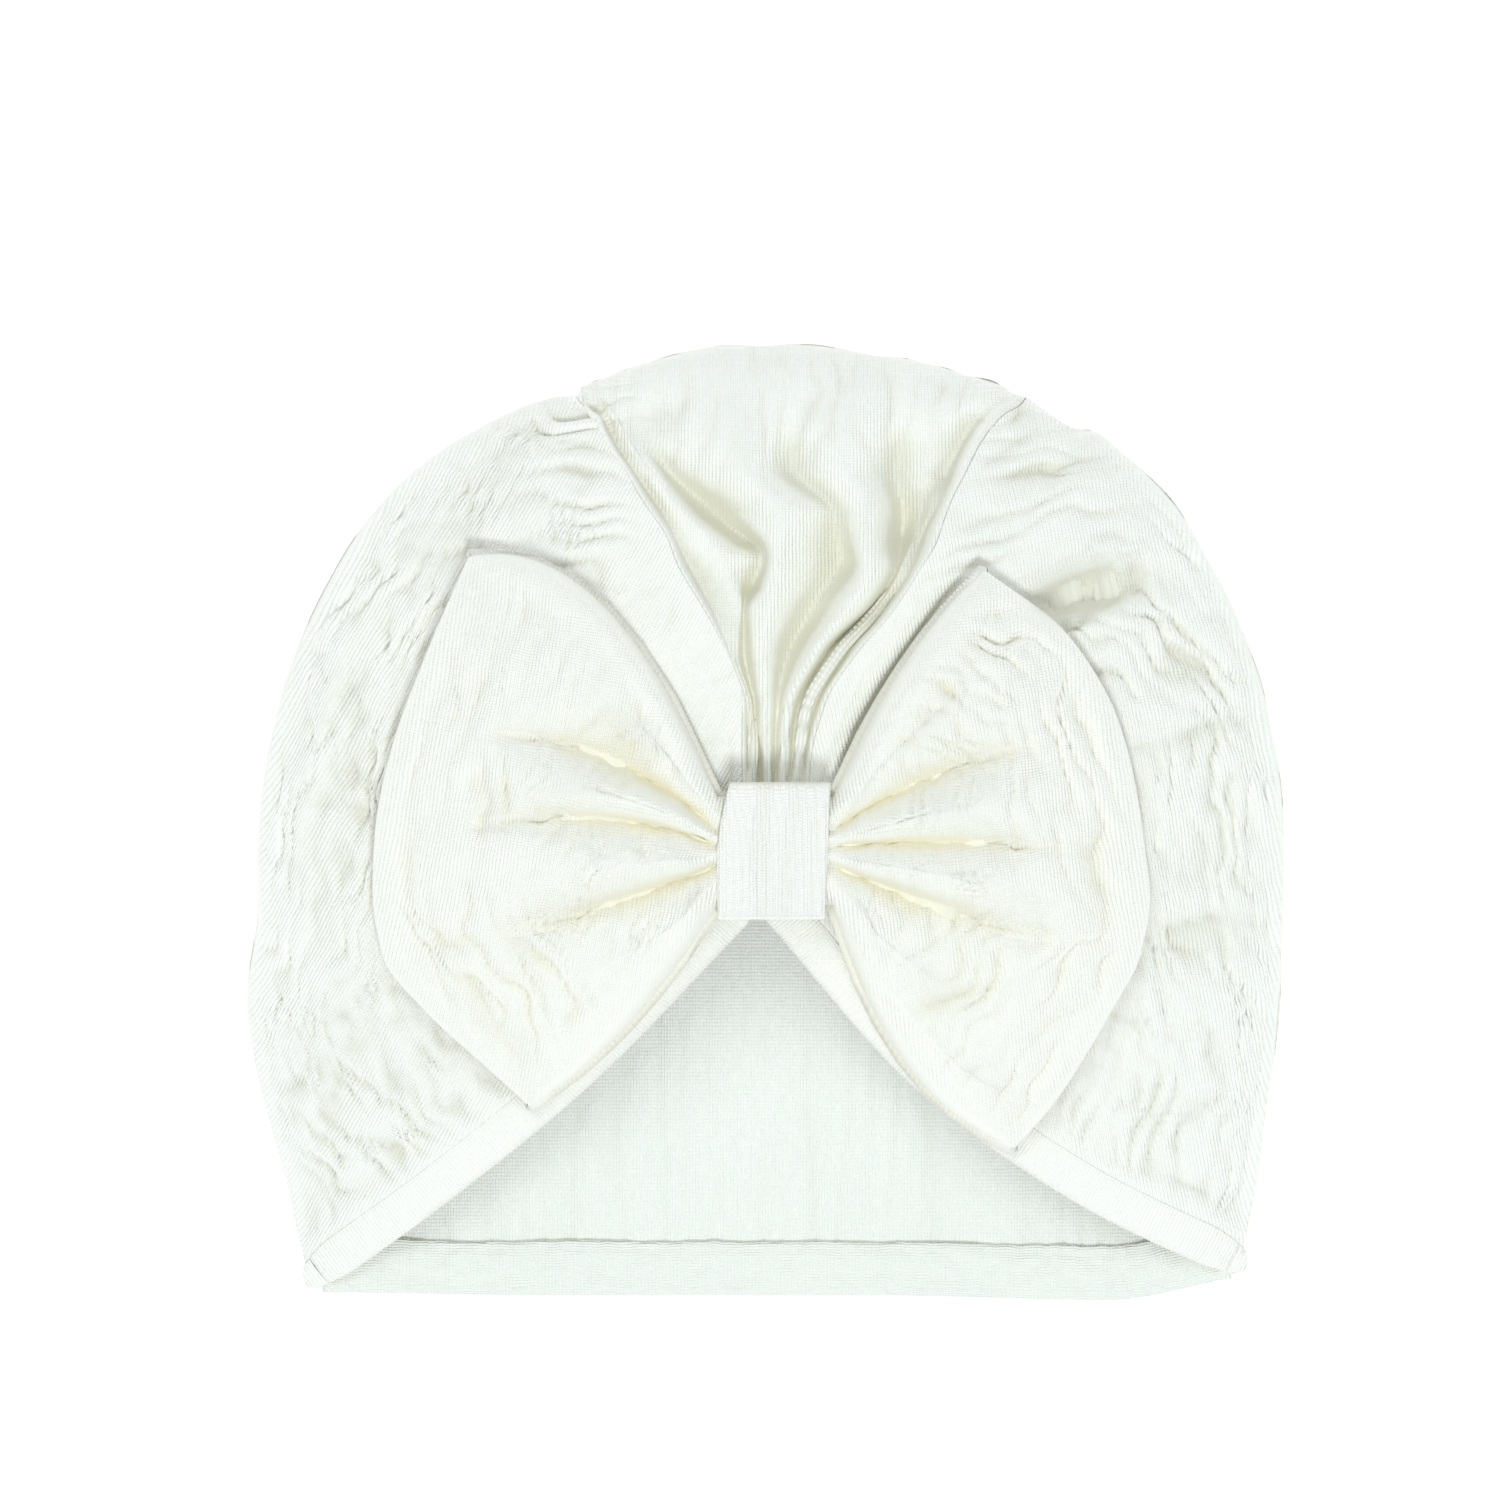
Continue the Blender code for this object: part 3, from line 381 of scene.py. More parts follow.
# How the puckers wander: how far, and how fast that changes along and beside them.
PUCKER_WARPS = ((0.95, 0.7, 0.45), (0.40, 1.7, 0.9))

# How fast the valleys' strength and the swells change along and beside the puckers.
VALLEY_CHANGES = (0.8, 0.42)
SWELL_CHANGES = (0.9, 0.7)

# Parts that the valleys and the swells have in the painted shade.
SHADE_PARTS = (0.8, 0.2)


@functools.lru_cache(maxsize=None)
def noise_directions(seed):
    """Random directions of the noise's grid, the same for each seed."""
    turns = np.random.default_rng(seed).uniform(0.0, 2 * math.pi, (NOISE_CELLS, NOISE_CELLS))
    return np.cos(turns), np.sin(turns)


def noise(x, y, seed):
    """Smooth gradient noise of two coordinates, about -1 to 1."""
    across, up = noise_directions(seed)
    column = np.floor(x).astype(int)
    row = np.floor(y).astype(int)
    fx = x - column
    fy = y - row
    ease_x = fx * fx * fx * (fx * (fx * 6 - 15) + 10)
    ease_y = fy * fy * fy * (fy * (fy * 6 - 15) + 10)
    corners = []
    for dy in (0, 1):
        for dx in (0, 1):
            i = (column + dx) % NOISE_CELLS
            j = (row + dy) % NOISE_CELLS
            corners.append(across[i, j] * (fx - dx) + up[i, j] * (fy - dy))
    low = corners[0] + (corners[1] - corners[0]) * ease_x
    high = corners[2] + (corners[3] - corners[2]) * ease_x
    return (low + (high - low) * ease_y) * NOISE_GAIN


def pucker(across, up, turn, length, spacing, seed):
    """Thin valleys (0 to 1) and soft swells (-1 to 1) that run in one direction."""
    along, beside = turned(across, up, turn)
    along = along / length
    beside = beside / spacing
    phase = beside
    for number, (strength, change_along, change_beside) in enumerate(PUCKER_WARPS, 1):
        phase = phase + strength * noise(along * change_along, beside * change_beside, seed + number)
    valley = (1 - np.abs(np.sin(math.pi * phase))) ** VALLEY_SHARPNESS
    gate = noise(along * VALLEY_CHANGES[0], beside * VALLEY_CHANGES[1], seed + 3)
    strength = VALLEY_LEAST + (1 - VALLEY_LEAST) * smooth_step(gate, *VALLEY_SPAN)
    swell = noise(along * SWELL_CHANGES[0], phase * SWELL_CHANGES[1], seed + 4)
    return valley * strength, swell


def puckers(across, up, regions, seed):
    """Depth of the puckers below the smooth cloth, in metres, and their painted shade, blended between
    regions.
    """
    total = np.full_like(across, TINY_WEIGHT)
    depth = np.zeros_like(across)
    shade = np.zeros_like(across)
    for number, row in enumerate(regions):
        _name, px, py, reach, turn, length, spacing, valley_depth, swell_depth = row
        middle = from_photo(px, py)
        distance = np.hypot(across - middle[0], up - middle[1]) / (reach * PIXEL)
        weight = np.exp(-REGION_FOCUS * distance ** 2)
        own_seed = seed + REGION_SEED_STEP * number
        valley, swell = pucker(across, up, turn, length * MM, spacing * MM, own_seed)
        swell = 0.5 + 0.5 * swell
        depth += weight * (valley * valley_depth + swell * swell_depth) * PUCKER_SCALE
        shade += weight * (SHADE_PARTS[0] * valley + SHADE_PARTS[1] * swell)
        total += weight
    return depth / total, shade / total


def crease_depth(across, up, creases):
    """Depth of the single folds below the smooth cloth, in metres."""
    depth = np.zeros_like(across)
    for _name, points, depth_mm, left_mm, right_mm in creases:
        route = np.array([from_photo(*point) for point in points])
        reach = CREASE_REACH * max(left_mm, right_mm) * MM
        low = route.min(axis=0) - reach
        high = route.max(axis=0) + reach
        near = (across > low[0]) & (across < high[0]) & (up > low[1]) & (up < high[1])
        if not near.any():
            continue
        x = across[near]
        y = up[near]
        best = np.full(x.shape, np.inf)
        side = np.zeros(x.shape)
        taper = np.zeros(x.shape)
        lengths = lengths_along(route)
        for k in range(len(route) - 1):
            step = route[k + 1] - route[k]
            t = ((x - route[k][0]) * step[0] + (y - route[k][1]) * step[1]) / step.dot(step)
            t = np.clip(t, 0.0, 1.0)
            off_x = x - route[k][0] - t * step[0]
            off_y = y - route[k][1] - t * step[1]
            distance = np.hypot(off_x, off_y)
            nearer = distance < best
            best = np.where(nearer, distance, best)
            side = np.where(nearer, step[0] * off_y - step[1] * off_x, side)
            share = (lengths[k] + t * (lengths[k + 1] - lengths[k])) / lengths[-1]
            taper = np.where(nearer, np.sin(np.pi * np.clip(share, *CREASE_ENDS)) ** CREASE_TAPER, taper)
        width = np.where(side > 0, left_mm, right_mm) * MM
        depth[near] = np.maximum(depth[near], depth_mm * MM * taper * np.exp(-best / width))
    return depth


def rolling(across, up, seed):
    """Depth of the cloth's slow, broad unevenness."""
    return ROLLING_DEPTH * (0.5 + 0.5 * noise(across / ROLLING_SPACING, up / ROLLING_SPACING, seed))


def pucker_fold(shade, creases):
    """Painted shade of the puckers and the single folds."""
    return PUCKER_SHADE * shade + CREASE_SHADE * creases / MM


# The fan of lines that runs from the knot to the outline

def flank_line(row, stations):
    """Plain line of a flank, bent a little sideways, at shares of its length."""
    start = scaled(row[1], row[2])
    rim = scaled(row[3], row[4])
    along = rim - start
    side = np.array([-along[1], along[0]])
    t = stations[:, None]
    return start + along * t + side * row[5] * 4 * t * (1 - t)


# Share of the half height that is kept between a pleat's last level and the outline.
LEVEL_MARGIN = 0.045

# Largest drop between two lines per distance between them, and how often the limit is passed along.
STEEPEST_PLEAT = 2.3
PLEAT_LIMIT_ROUNDS = 3

# Sideways wobble of the pleats at the knot and further out, where it grows and where it ends, and how much
# the pleats' drops vary.
PLEAT_WOBBLE = (0.35 * MM, 1.4 * MM)
PLEAT_WOBBLE_SPAN = (0.25, 0.60)
PLEAT_WOBBLE_END = (0.80, 1.0)
PLEAT_UNEVENNESS = 0.35

# How fast the wobble and the unevenness change along a pleat and from one pleat to the next.
WOBBLE_CHANGES = (8.0, 3.7)
UNEVEN_CHANGES = (7.0, 2.3)

# The opening's direction is measured over steps of its length divided by this.
OPENING_PROBE = 1000


def limited_drops(lines, drops):
    """Drops with the valleys made shallower where their neighbours are too near for cloth to go so deep."""
    drops = drops.copy()
    room = STEEPEST_PLEAT * np.linalg.norm(np.diff(lines, axis=0), axis=2)
    for _round in range(PLEAT_LIMIT_ROUNDS):
        for k in range(len(room)):
            drops[k] = np.minimum(drops[k], drops[k + 1] + room[k])
            drops[k + 1] = np.minimum(drops[k + 1], drops[k] + room[k])
    return drops


def level_shares():
    """The pleats' levels and the rim, as shares of the way from the first level."""
    levels = np.array(PLEAT_LEVELS + (1.0,))
    return (levels - levels[0]) / (levels[-1] - levels[0])


def pleat_line(row, stations):
    """Line of a pleat through its places at the levels, at shares of its height."""
    _name, *places, rim_up = row
    across = np.array(places) * HALF_WIDTH
    last_level = min(PLEAT_LEVELS[-1], rim_up - LEVEL_MARGIN)
    up = np.array(PLEAT_LEVELS[:-1] + (last_level, rim_up)) * HALF_HEIGHT
    return through_points(level_shares(), np.stack([across, up], axis=1), stations)


def opening_line(points, inset, shares):
    """Line along one side of the opening, at shares of the way from the corner, moved into the cloth."""
    points = np.array([scaled(*p) for p in points])
    length = lengths_along(points)
    at = np.asarray(shares) * length[-1]
    step = length[-1] / OPENING_PROBE
    along = unit(through_points(length, points, at + step) - through_points(length, points, at - step))
    return through_points(length, points, at) + np.column_stack([-along[:, 1], along[:, 0]]) * inset


def fan_lines(stations):
    """All the lines of the fan, left corner to right corner, with their drops below the dome."""
    inset = FRONT_HEM_WIDTH + GAP
    plain = np.zeros(len(stations))
    lines = [opening_line(LEFT_OPENING, inset, 1 - stations)]
    drops = [plain]
    lines += [flank_line(row, stations) for row in LEFT_FLANK]
    drops += [plain for _ in LEFT_FLANK]
    at_knot, at_rim = PLEAT_WOBBLE
    shift = at_knot + (at_rim - at_knot) * smooth_step(stations, *PLEAT_WOBBLE_SPAN)
    shift = shift * (1 - smooth_step(stations, *PLEAT_WOBBLE_END))
    for number, (row, drop) in enumerate(zip(PLEAT_LINES, PLEAT_DROPS)):
        line = pleat_line(row, stations)
        change, step = WOBBLE_CHANGES
        line[:, 0] += shift * noise(stations * change, 0 * stations + step * number, WOBBLE_SEED)
        lines.append(line)
        change, step = UNEVEN_CHANGES
        uneven = noise(stations * change, 0 * stations + step * number, UNEVEN_SEED)
        uneven = 1 + PLEAT_UNEVENNESS * uneven
        drops.append(smooth_through(level_shares(), drop[1:], stations) * PLEAT_DEPTH * uneven)
    lines += [flank_line(row, stations) for row in RIGHT_FLANK]
    drops += [plain for _ in RIGHT_FLANK]
    lines.append(opening_line(RIGHT_OPENING, -inset, 1 - stations))
    drops.append(plain)
    return np.array(lines), limited_drops(np.array(lines), np.array(drops))


def fan_columns(flank_steps, pleat_steps):
    """Places of the mesh's columns, counted in lines of the fan, closer together towards the opening."""
    columns = []
    first_pleat = 1 + len(LEFT_FLANK)
    last_pleat = first_pleat + len(PLEAT_LINES) - 1
    last = last_pleat + len(RIGHT_FLANK) + 1
    for line in range(last):
        steps = pleat_steps if first_pleat <= line < last_pleat else flank_steps
        columns += [line + k / steps for k in range(steps)]
    columns = np.array(columns + [last])
    first_gap = columns < 1
    last_gap = columns > last - 1
    columns[first_gap] = columns[first_gap] ** EDGE_CROWDING
    columns[last_gap] = last - (last - columns[last_gap]) ** EDGE_CROWDING
    return columns


def blend_lines(lines, columns):
    """Smooth surface through the fan's lines, at the given columns."""
    knots = np.arange(len(lines))
    return np.stack([through_points(knots, lines[:, k], columns) for k in range(lines.shape[1])], axis=1)


def blend_drops(drops, columns, roundness=1.0):
    """Round on the ridges, between neighbouring lines; the valleys are sharp at 1 and round above that."""
    i = np.clip(columns.astype(int), 0, len(drops) - 2)
    t = (columns - i)[:, None]
    here = drops[i]
    there = drops[i + 1]
    rising = np.sin(t * math.pi / 2) ** roundness
    falling = 1 - np.cos(t * math.pi / 2) ** roundness
    return here + (there - here) * np.where(there < here, rising, falling)


@functools.lru_cache(maxsize=None)
def outline_polar():
    """Angles and distances of the outline's points, seen from the knot."""
    rim = list(fan_lines(np.array([1.0]))[0][:, 0])
    rim += [scaled(*point) for point in BACK_EDGE]
    offset = np.array(rim) - KNOT
    angles = np.arctan2(offset[:, 0], offset[:, 1])
    reach = np.hypot(offset[:, 0], offset[:, 1])
    order = np.argsort(angles)
    angles = angles[order]
    whole_turn = 2 * math.pi
    return np.concatenate([angles - whole_turn, angles, angles + whole_turn]), np.tile(reach[order], 3)


def outline_reach(angle):
    """Distance from the knot to the outline in a direction."""
    angles, reach = outline_polar()
    return smooth_through(angles, reach, angle)


def fold_radius(up):
    """Radius of the side fold, tighter towards the corners of the opening."""
    low, high = CORNER_FOLD_SPAN
    share = smooth_step(up, low * HALF_HEIGHT, high * HALF_HEIGHT)
    return CORNER_FOLD_RADIUS + (SIDE_FOLD_RADIUS - CORNER_FOLD_RADIUS) * share


def dome(across, up):
    """Height of the front wall's ridges over a point of the surface it lies on."""
    from_knot_x = across - KNOT[0]
    from_knot_y = up - KNOT[1]
    distance = np.hypot(from_knot_x, from_knot_y)
    angle = np.arctan2(from_knot_x, from_knot_y)
    share = np.clip(distance / outline_reach(angle), 0.0, 1.0)
    towards_opening = smooth_step(np.abs(angle), *OPENING_FALL_ANGLES)
    towards_opening = towards_opening * smooth_step(share, 0.0, OPENING_FALL_REACH)
    rise = CROWN_RISE * (1 - OPENING_FALL * towards_opening)
    dip = KNOT_DIP * np.exp(-((distance / KNOT_DIP_REACH) ** 2))
    return fold_radius(up) + rise * np.sqrt(1 - share ** DOME_ROUNDNESS) - dip


def dent_depth(across, up):
    """Depth of the broad dents at a point."""
    depth = np.zeros_like(across)
    for _name, at_x, at_y, half_length, half_width, turn, share in DENTS:
        centre = scaled(at_x, at_y)
        along, beside = turned(across - centre[0], up - centre[1], turn)
        along = along / (half_length * HALF_WIDTH)
        beside = beside / (half_width * HALF_WIDTH)
        depth += share * PLEAT_DEPTH * np.exp(-along ** 2 - beside ** 2)
    return depth


# Cloth meshes

def grid_normals(grid, closed=False):
    """Unit normals of a grid of points, by columns and rows."""
    if closed:
        along = np.roll(grid, -1, axis=0) - np.roll(grid, 1, axis=0)
    else:
        along = np.gradient(grid, axis=0)
    normal = np.cross(along, np.gradient(grid, axis=1))
    size = np.linalg.norm(normal, axis=2, keepdims=True)
    return normal / np.maximum(size, TINY_LENGTH ** 2)


def mesh_object(name, points, faces, grain, fold, level):
    """Smooth-shaded object from its points and faces, with what its material needs at each point.

    grain is the place in the knit, in metres, fold the painted shade, 0 to 1, and level 1 where the cloth
    lies flat and 0 where it is steep.
    """
    data = bpy.data.meshes.new(name)
    data.from_pydata(points.tolist(), [], faces)
    data.validate()
    layer = data.attributes.new("grain", "FLOAT_VECTOR", "POINT")
    layer.data.foreach_set("vector", grain.astype(np.float32).ravel())
    # fold carries the painted shade; level only steers the knit's relief.
    for layer_name, values in (("fold", fold), ("level", level)):
        layer = data.attributes.new(layer_name, "FLOAT", "POINT")
        layer.data.foreach_set("value", np.clip(values, 0.0, 1.0).astype(np.float32).ravel())
    data.shade_smooth()
    obj = bpy.data.objects.new(name, data)
    bpy.context.scene.collection.objects.link(obj)
    return obj


def quads(columns, rows, start, closed, flip):
    """Faces of a grid whose points are numbered from start, column by column."""
    faces = []
    for i in range(columns if closed else columns - 1):
        here = start + i * rows
        there = start + ((i + 1) % columns) * rows
        for j in range(rows - 1):
            face = (here + j, there + j, there + j + 1, here + j + 1)
            faces.append(face[::-1] if flip else face)
    return faces


def rim_faces(fine, coarse, step, flip):
    """Faces between a fine edge and a coarse edge that holds every step-th of its points."""
    faces = []
    for k in range(len(coarse) - 1):
        run = list(fine[k * step:k * step + step + 1])
        face = run + [coarse[k + 1], coarse[k]]
        faces.append(tuple(face[::-1] if flip else face))
    return faces


def deepest_near(depth, reach):
    """Largest depth within reach points of each point."""
    padded = np.pad(depth, reach, mode="edge")
    columns, rows = depth.shape
    deepest = depth
    for i in range(2 * reach + 1):
        for j in range(2 * reach + 1):
            deepest = np.maximum(deepest, padded[i:i + columns, j:j + rows])
    return deepest


# Points of the outer face for each point of the inner face.
INNER_STEP = 4

# Upward share of the normal over which the puckers, and the knit's relief, come in.
PUCKER_SPAN = (0.30, 0.85)
LEVEL_SPAN = (0.35, 0.80)

# Steep cloth keeps a share of the puckers' depth, blurred over a reach in points.
EVEN_REACH = 5.0
EVEN_SHARE = 0.25

# Map of the heights for the painted shade in hollows: its cell and margin, the reach, full depth and strength
# of each of its blurs, and how often its empty cells are filled from their neighbours.
CAVITY_CELL = 1.0 * MM
CAVITY_MARGIN = 8 * MM
CAVITY_SCALES = ((1.8 * MM, 1.5 * MM, 0.60), (4.5 * MM, 3.4 * MM, 0.75))
CAVITY_FILLS = 2


def blurred(image, reach):
    """Gaussian blur of a grid, reach in cells."""
    half = int(3 * reach) + 1
    weights = np.exp(-0.5 * (np.arange(-half, half + 1) / reach) ** 2)
    weights /= weights.sum()
    for _axis in range(2):
        padded = np.pad(image, ((half, half), (0, 0)), mode="edge")
        image = sum(w * padded[k:k + len(image)] for k, w in enumerate(weights)).T
    return image


def cavity_share(points):
    """How deep each point lies below the cloth around it, 0 to about 1, from a map of the heights."""
    low = np.array([-HALF_WIDTH - CAVITY_MARGIN, -HALF_HEIGHT - CAVITY_MARGIN])
    place = (points[:, :, :2] - low) / CAVITY_CELL
    columns = int(2 * (HALF_WIDTH + CAVITY_MARGIN) / CAVITY_CELL) + 2
    rows = int(2 * (HALF_HEIGHT + CAVITY_MARGIN) / CAVITY_CELL) + 2
    i = np.clip(place[:, :, 0].astype(int), 0, columns - 2)
    j = np.clip(place[:, :, 1].astype(int), 0, rows - 2)
    top = np.zeros((columns, rows))
    np.maximum.at(top, (i, j), points[:, :, 2])
    for _round in range(CAVITY_FILLS):
        near = np.pad(top, 1)
        across = np.maximum(near[:-2, 1:-1], near[2:, 1:-1])
        up = np.maximum(near[1:-1, :-2], near[1:-1, 2:])
        top = np.where(top > 0, top, np.maximum(across, up))
    share = np.zeros(points.shape[:2])
    at_x = np.clip(place[:, :, 0] - i - 0.5, 0.0, 1.0)
    at_y = np.clip(place[:, :, 1] - j - 0.5, 0.0, 1.0)
    for reach, full_depth, strength in CAVITY_SCALES:
        smooth = blurred(top, reach / CAVITY_CELL)
        lower = smooth[i, j] * (1 - at_x) + smooth[i + 1, j] * at_x
        upper = smooth[i, j + 1] * (1 - at_x) + smooth[i + 1, j + 1] * at_x
        around = lower * (1 - at_y) + upper * at_y
        share += strength * np.clip((around - points[:, :, 2]) / full_depth, 0.0, 1.0)
    return share


def cloth_solid(name, base, depth, grain, fold, closed=False, cavity=0.0):
    """Closed cloth wall: a fine outer face, depth below the base, a coarser inner face and the edges between.

    Where the base is steep only a blurred part of the depth is left, so that no pucker crosses its neighbour.
    cavity is the strength of the painted shade in what lies below the cloth around it.
    """
    step = INNER_STEP
    columns, rows = base.shape[:2]
    assert (rows - 1) % step == 0 and (columns - (0 if closed else 1)) % step == 0
    normals = grid_normals(base, closed)
    even = EVEN_SHARE * blurred(depth, EVEN_REACH)
    depth = even + (depth - even) * smooth_step(normals[:, :, 2], *PUCKER_SPAN)
    outer = base - normals * depth[:, :, None]
    # Painted shade in what lies below the cloth around it.
    fold = fold + cavity * cavity_share(outer) if cavity else fold
    sunk = (CLOTH + deepest_near(depth, step))[:, :, None]
    inner = (base - normals * sunk)[::step, ::step]
    inner[:, :, 2] = np.maximum(inner[:, :, 2], 0.0)
    level = smooth_step(np.abs(grid_normals(outer, closed)[:, :, 2]), *LEVEL_SPAN)
    inner_columns, inner_rows = inner.shape[:2]
    points = np.concatenate([outer.reshape(-1, 3), inner.reshape(-1, 3)])
    start = columns * rows
    faces = quads(columns, rows, 0, closed, False)
    faces += quads(inner_columns, inner_rows, start, closed, True)
    outer_ids = np.arange(start).reshape(columns, rows)
    inner_ids = (start + np.arange(inner_columns * inner_rows)).reshape(inner_columns, inner_rows)
    if closed:
        outer_ids = np.vstack([outer_ids, outer_ids[:1]])
        inner_ids = np.vstack([inner_ids, inner_ids[:1]])
    faces += rim_faces(outer_ids[:, 0].tolist(), inner_ids[:, 0].tolist(), step, True)
    faces += rim_faces(outer_ids[:, -1].tolist(), inner_ids[:, -1].tolist(), step, False)
    if not closed:
        faces += rim_faces(outer_ids[0].tolist(), inner_ids[0].tolist(), step, False)
        faces += rim_faces(outer_ids[-1].tolist(), inner_ids[-1].tolist(), step, True)
    whole_grain = np.concatenate([grain.reshape(-1, 3), grain[::step, ::step].reshape(-1, 3)])
    whole_fold = np.concatenate([fold.ravel(), fold[::step, ::step].ravel()])
    whole_level = np.concatenate([level.ravel(), level[::step, ::step].ravel()])
    return mesh_object(name, points, faces, whole_grain, whole_fold, whole_level)


def knit_place(across, up, turn):
    """Place in the knit of a point of the plane, with the wales turned from the X axis by turn degrees."""
    along, beside = turned(across, up, turn)
    return np.stack([beside, along, np.zeros_like(across)], axis=-1)


# Crown

CROWN_ROWS = 185
CROWN_FOLD_STEPS = 8
CROWN_FLANK_STEPS = 16
CROWN_PLEAT_STEPS = 20
EDGE_CROWDING = 1.8
RIM_CROWDING = 1.25
PLEAT_ROUNDNESS = 1.6
# Strength of the painted shade in the crown's hollows.
CROWN_CAVITY = 0.95
DEPTH_LIMIT = 0.26

# Share of the crown's rise over which pleats and dents come in above the side fold.
ROOM_SHARE = 0.5

# Painted shade of the valleys: its strength, the largest drop that counts and how sharply it grows.
HOLLOW_SHADE = 0.10
HOLLOW_LIMIT = 1.3
HOLLOW_SHARPNESS = 1.4

# Painted shade of the dents: its strength, and the drop at which it starts.
DENT_SHADE = 0.4
DENT_SHADE_START = 0.25

# How far the cloth lies back under the hem's lip, and at which distances from the edge.
LIP_RECESS = 0.42 * MM
LIP_RECESS_SPAN = (1.2 * MM, 2.5 * MM)

# Rows from the bottom of the side fold over which the puckers come in.
SIDE_CALM_ROWS = (4.0, 16.0)

# How far the puckers are calmed among the pleats, and the share of the way to the outline where that ends.
PLEAT_CALM = 0.85
PLEAT_CALM_SPAN = (0.55, 0.85)

# Waves of the outline: depth, change from line to line, lines at each corner without them, and how close to
# the outline they stay. The two nicks: depth, and width in lines.
RIM_WAVE = 0.6 * MM
RIM_CHANGE = 1.3
RIM_STEADY = 2.0
RIM_FOCUS = 8
RIM_NICK = 0.7 * MM
NICK_WIDTH = 0.8

# Turn of the wales on the left flank, the pleats and the right flank, in degrees.
CROWN_GRAINS = (62.0, 90.0, 100.0)


def inward_normals(rim):
    """Directions in the plane that point from the outline into the hat."""
    along = unit(np.gradient(rim, axis=0))
    return np.stack([along[:, 1], -along[:, 0]], axis=1)


def line_number(name):
    """Place of a pleat's line in the fan."""
    return 1 + len(LEFT_FLANK) + [row[0] for row in PLEAT_LINES].index(name)


@functools.lru_cache(maxsize=None)
def crown_outer():
    """Outer face of the front wall and the side fold, down to the surface that the hat lies on."""
    spread = np.linspace(0.0, 1.0, CROWN_ROWS - CROWN_FOLD_STEPS)
    stations = 1 - (1 - spread) ** RIM_CROWDING
    columns = fan_columns(CROWN_FLANK_STEPS, CROWN_PLEAT_STEPS)
    lines, drops = fan_lines(stations)
    plane = blend_lines(lines, columns)
    reach = RIM_WAVE * noise(columns * RIM_CHANGE, 0 * columns, RIM_SEED)
    for name in ("left_edge", "right_edge"):
        reach = reach - RIM_NICK * np.exp(-((columns - line_number(name)) / NICK_WIDTH) ** 2)
    for from_corner in (columns, columns[-1] - columns):
        reach = reach * smooth_step(from_corner, 0.0, RIM_STEADY)
    outward = unit(plane[:, -1] - KNOT)
    plane = plane + (outward * reach[:, None])[:, None] * (stations ** RIM_FOCUS)[None, :, None]
    drop = blend_drops(drops, columns, PLEAT_ROUNDNESS)
    across = plane[:, :, 0]
    up = plane[:, :, 1]
    dent = dent_depth(across, up)
    height = dome(across, up)
    height[:, -1] = fold_radius(up[:, -1])
    room = np.clip((height - fold_radius(up)) / (ROOM_SHARE * CROWN_RISE), 0.0, 1.0)
    height -= (drop + dent) * room
    front = np.stack([across, up, height], axis=2)
    rim = front[:, -1, :2]
    radius = fold_radius(rim[:, 1])
    inward = inward_normals(rim)
    rows = [front]
    for k in range(1, CROWN_FOLD_STEPS + 1):
        turn = math.pi / 2 * k / CROWN_FOLD_STEPS
        fold = rim + inward * (radius * (1 - math.cos(turn)))[:, None]
        rows.append(np.column_stack([fold, radius * (1 - math.sin(turn))])[:, None])
    # Painted shade, darker the deeper the pleats' valleys and the dents.
    hollow = np.clip(drop / PLEAT_DEPTH, 0.0, HOLLOW_LIMIT) ** HOLLOW_SHARPNESS * room * HOLLOW_SHADE
    hollow += np.clip(dent / PLEAT_DEPTH - DENT_SHADE_START, 0.0, 1.0) * DENT_SHADE
    hollow = np.pad(hollow, ((0, 0), (0, CROWN_FOLD_STEPS)), mode="edge")
    return np.concatenate(rows, axis=1), hollow


def make_crown_front():
    """Front wall with its pleats and puckers, and the side fold."""
    base, hollow = crown_outer()
    across = base[:, :, 0]
    up = base[:, :, 1]
    depth, shade = puckers(across, up, CROWN_PUCKERS, CROWN_SEED)
    creases = crease_depth(across, up, CROWN_CREASES)
    calm = smooth_step(np.arange(base.shape[1])[::-1], *SIDE_CALM_ROWS)[None, :]
    from_left = np.linalg.norm(base[:, :, :2] - base[:1, :, :2], axis=2)
    from_right = np.linalg.norm(base[:, :, :2] - base[-1:, :, :2], axis=2)
    from_edge = np.minimum(from_left, from_right)
    calm = calm * smooth_step(from_edge, LIP_RECESS_SPAN[0], 3 * LIP_RECESS_SPAN[1])
    recess = LIP_RECESS * (1 - smooth_step(from_edge, *LIP_RECESS_SPAN))
    depth = depth + creases * CREASE_BOOST + rolling(across, up, CROWN_ROLLING_SEED)
    depth = np.minimum(depth, DEPTH_LIMIT * base[:, :, 2]) * calm + recess
    fold = hollow + pucker_fold(shade, creases) * calm
    column = fan_columns(CROWN_FLANK_STEPS, CROWN_PLEAT_STEPS)[:, None]
    pleated = smooth_step(column, line_number("left_panel"), line_number("left_edge"))
    pleated = pleated * (1 - smooth_step(column, line_number("right_edge"), line_number("right_panel")))
    pleated = pleated * (1 - smooth_step(np.linspace(0.0, 1.0, base.shape[1])[None, :], *PLEAT_CALM_SPAN))
    depth = depth * (1 - PLEAT_CALM * pleated)
    column = column[:, :, None]
    left_side = column <= line_number("left_edge")
    right_side = column >= line_number("right_edge")
    left, middle, right = [knit_place(across, up, turn) for turn in CROWN_GRAINS]
    grain = np.where(right_side, right, np.where(left_side, left, middle))
    return cloth_solid("crown_front", base, depth, grain, fold, cavity=CROWN_CAVITY)


BACK_COLUMNS = 481
BACK_ROWS = 61
BACK_CROWDING = 1.3

# How far the wall stays inside the corners, in cloths, and how far it bulges above its own thickness.
BACK_CORNER = 3
BACK_BULGE = 0.5 * MM

# Height, in cloths, below which the inner face lies flat on the surface.
BACK_FLAT = 0.6
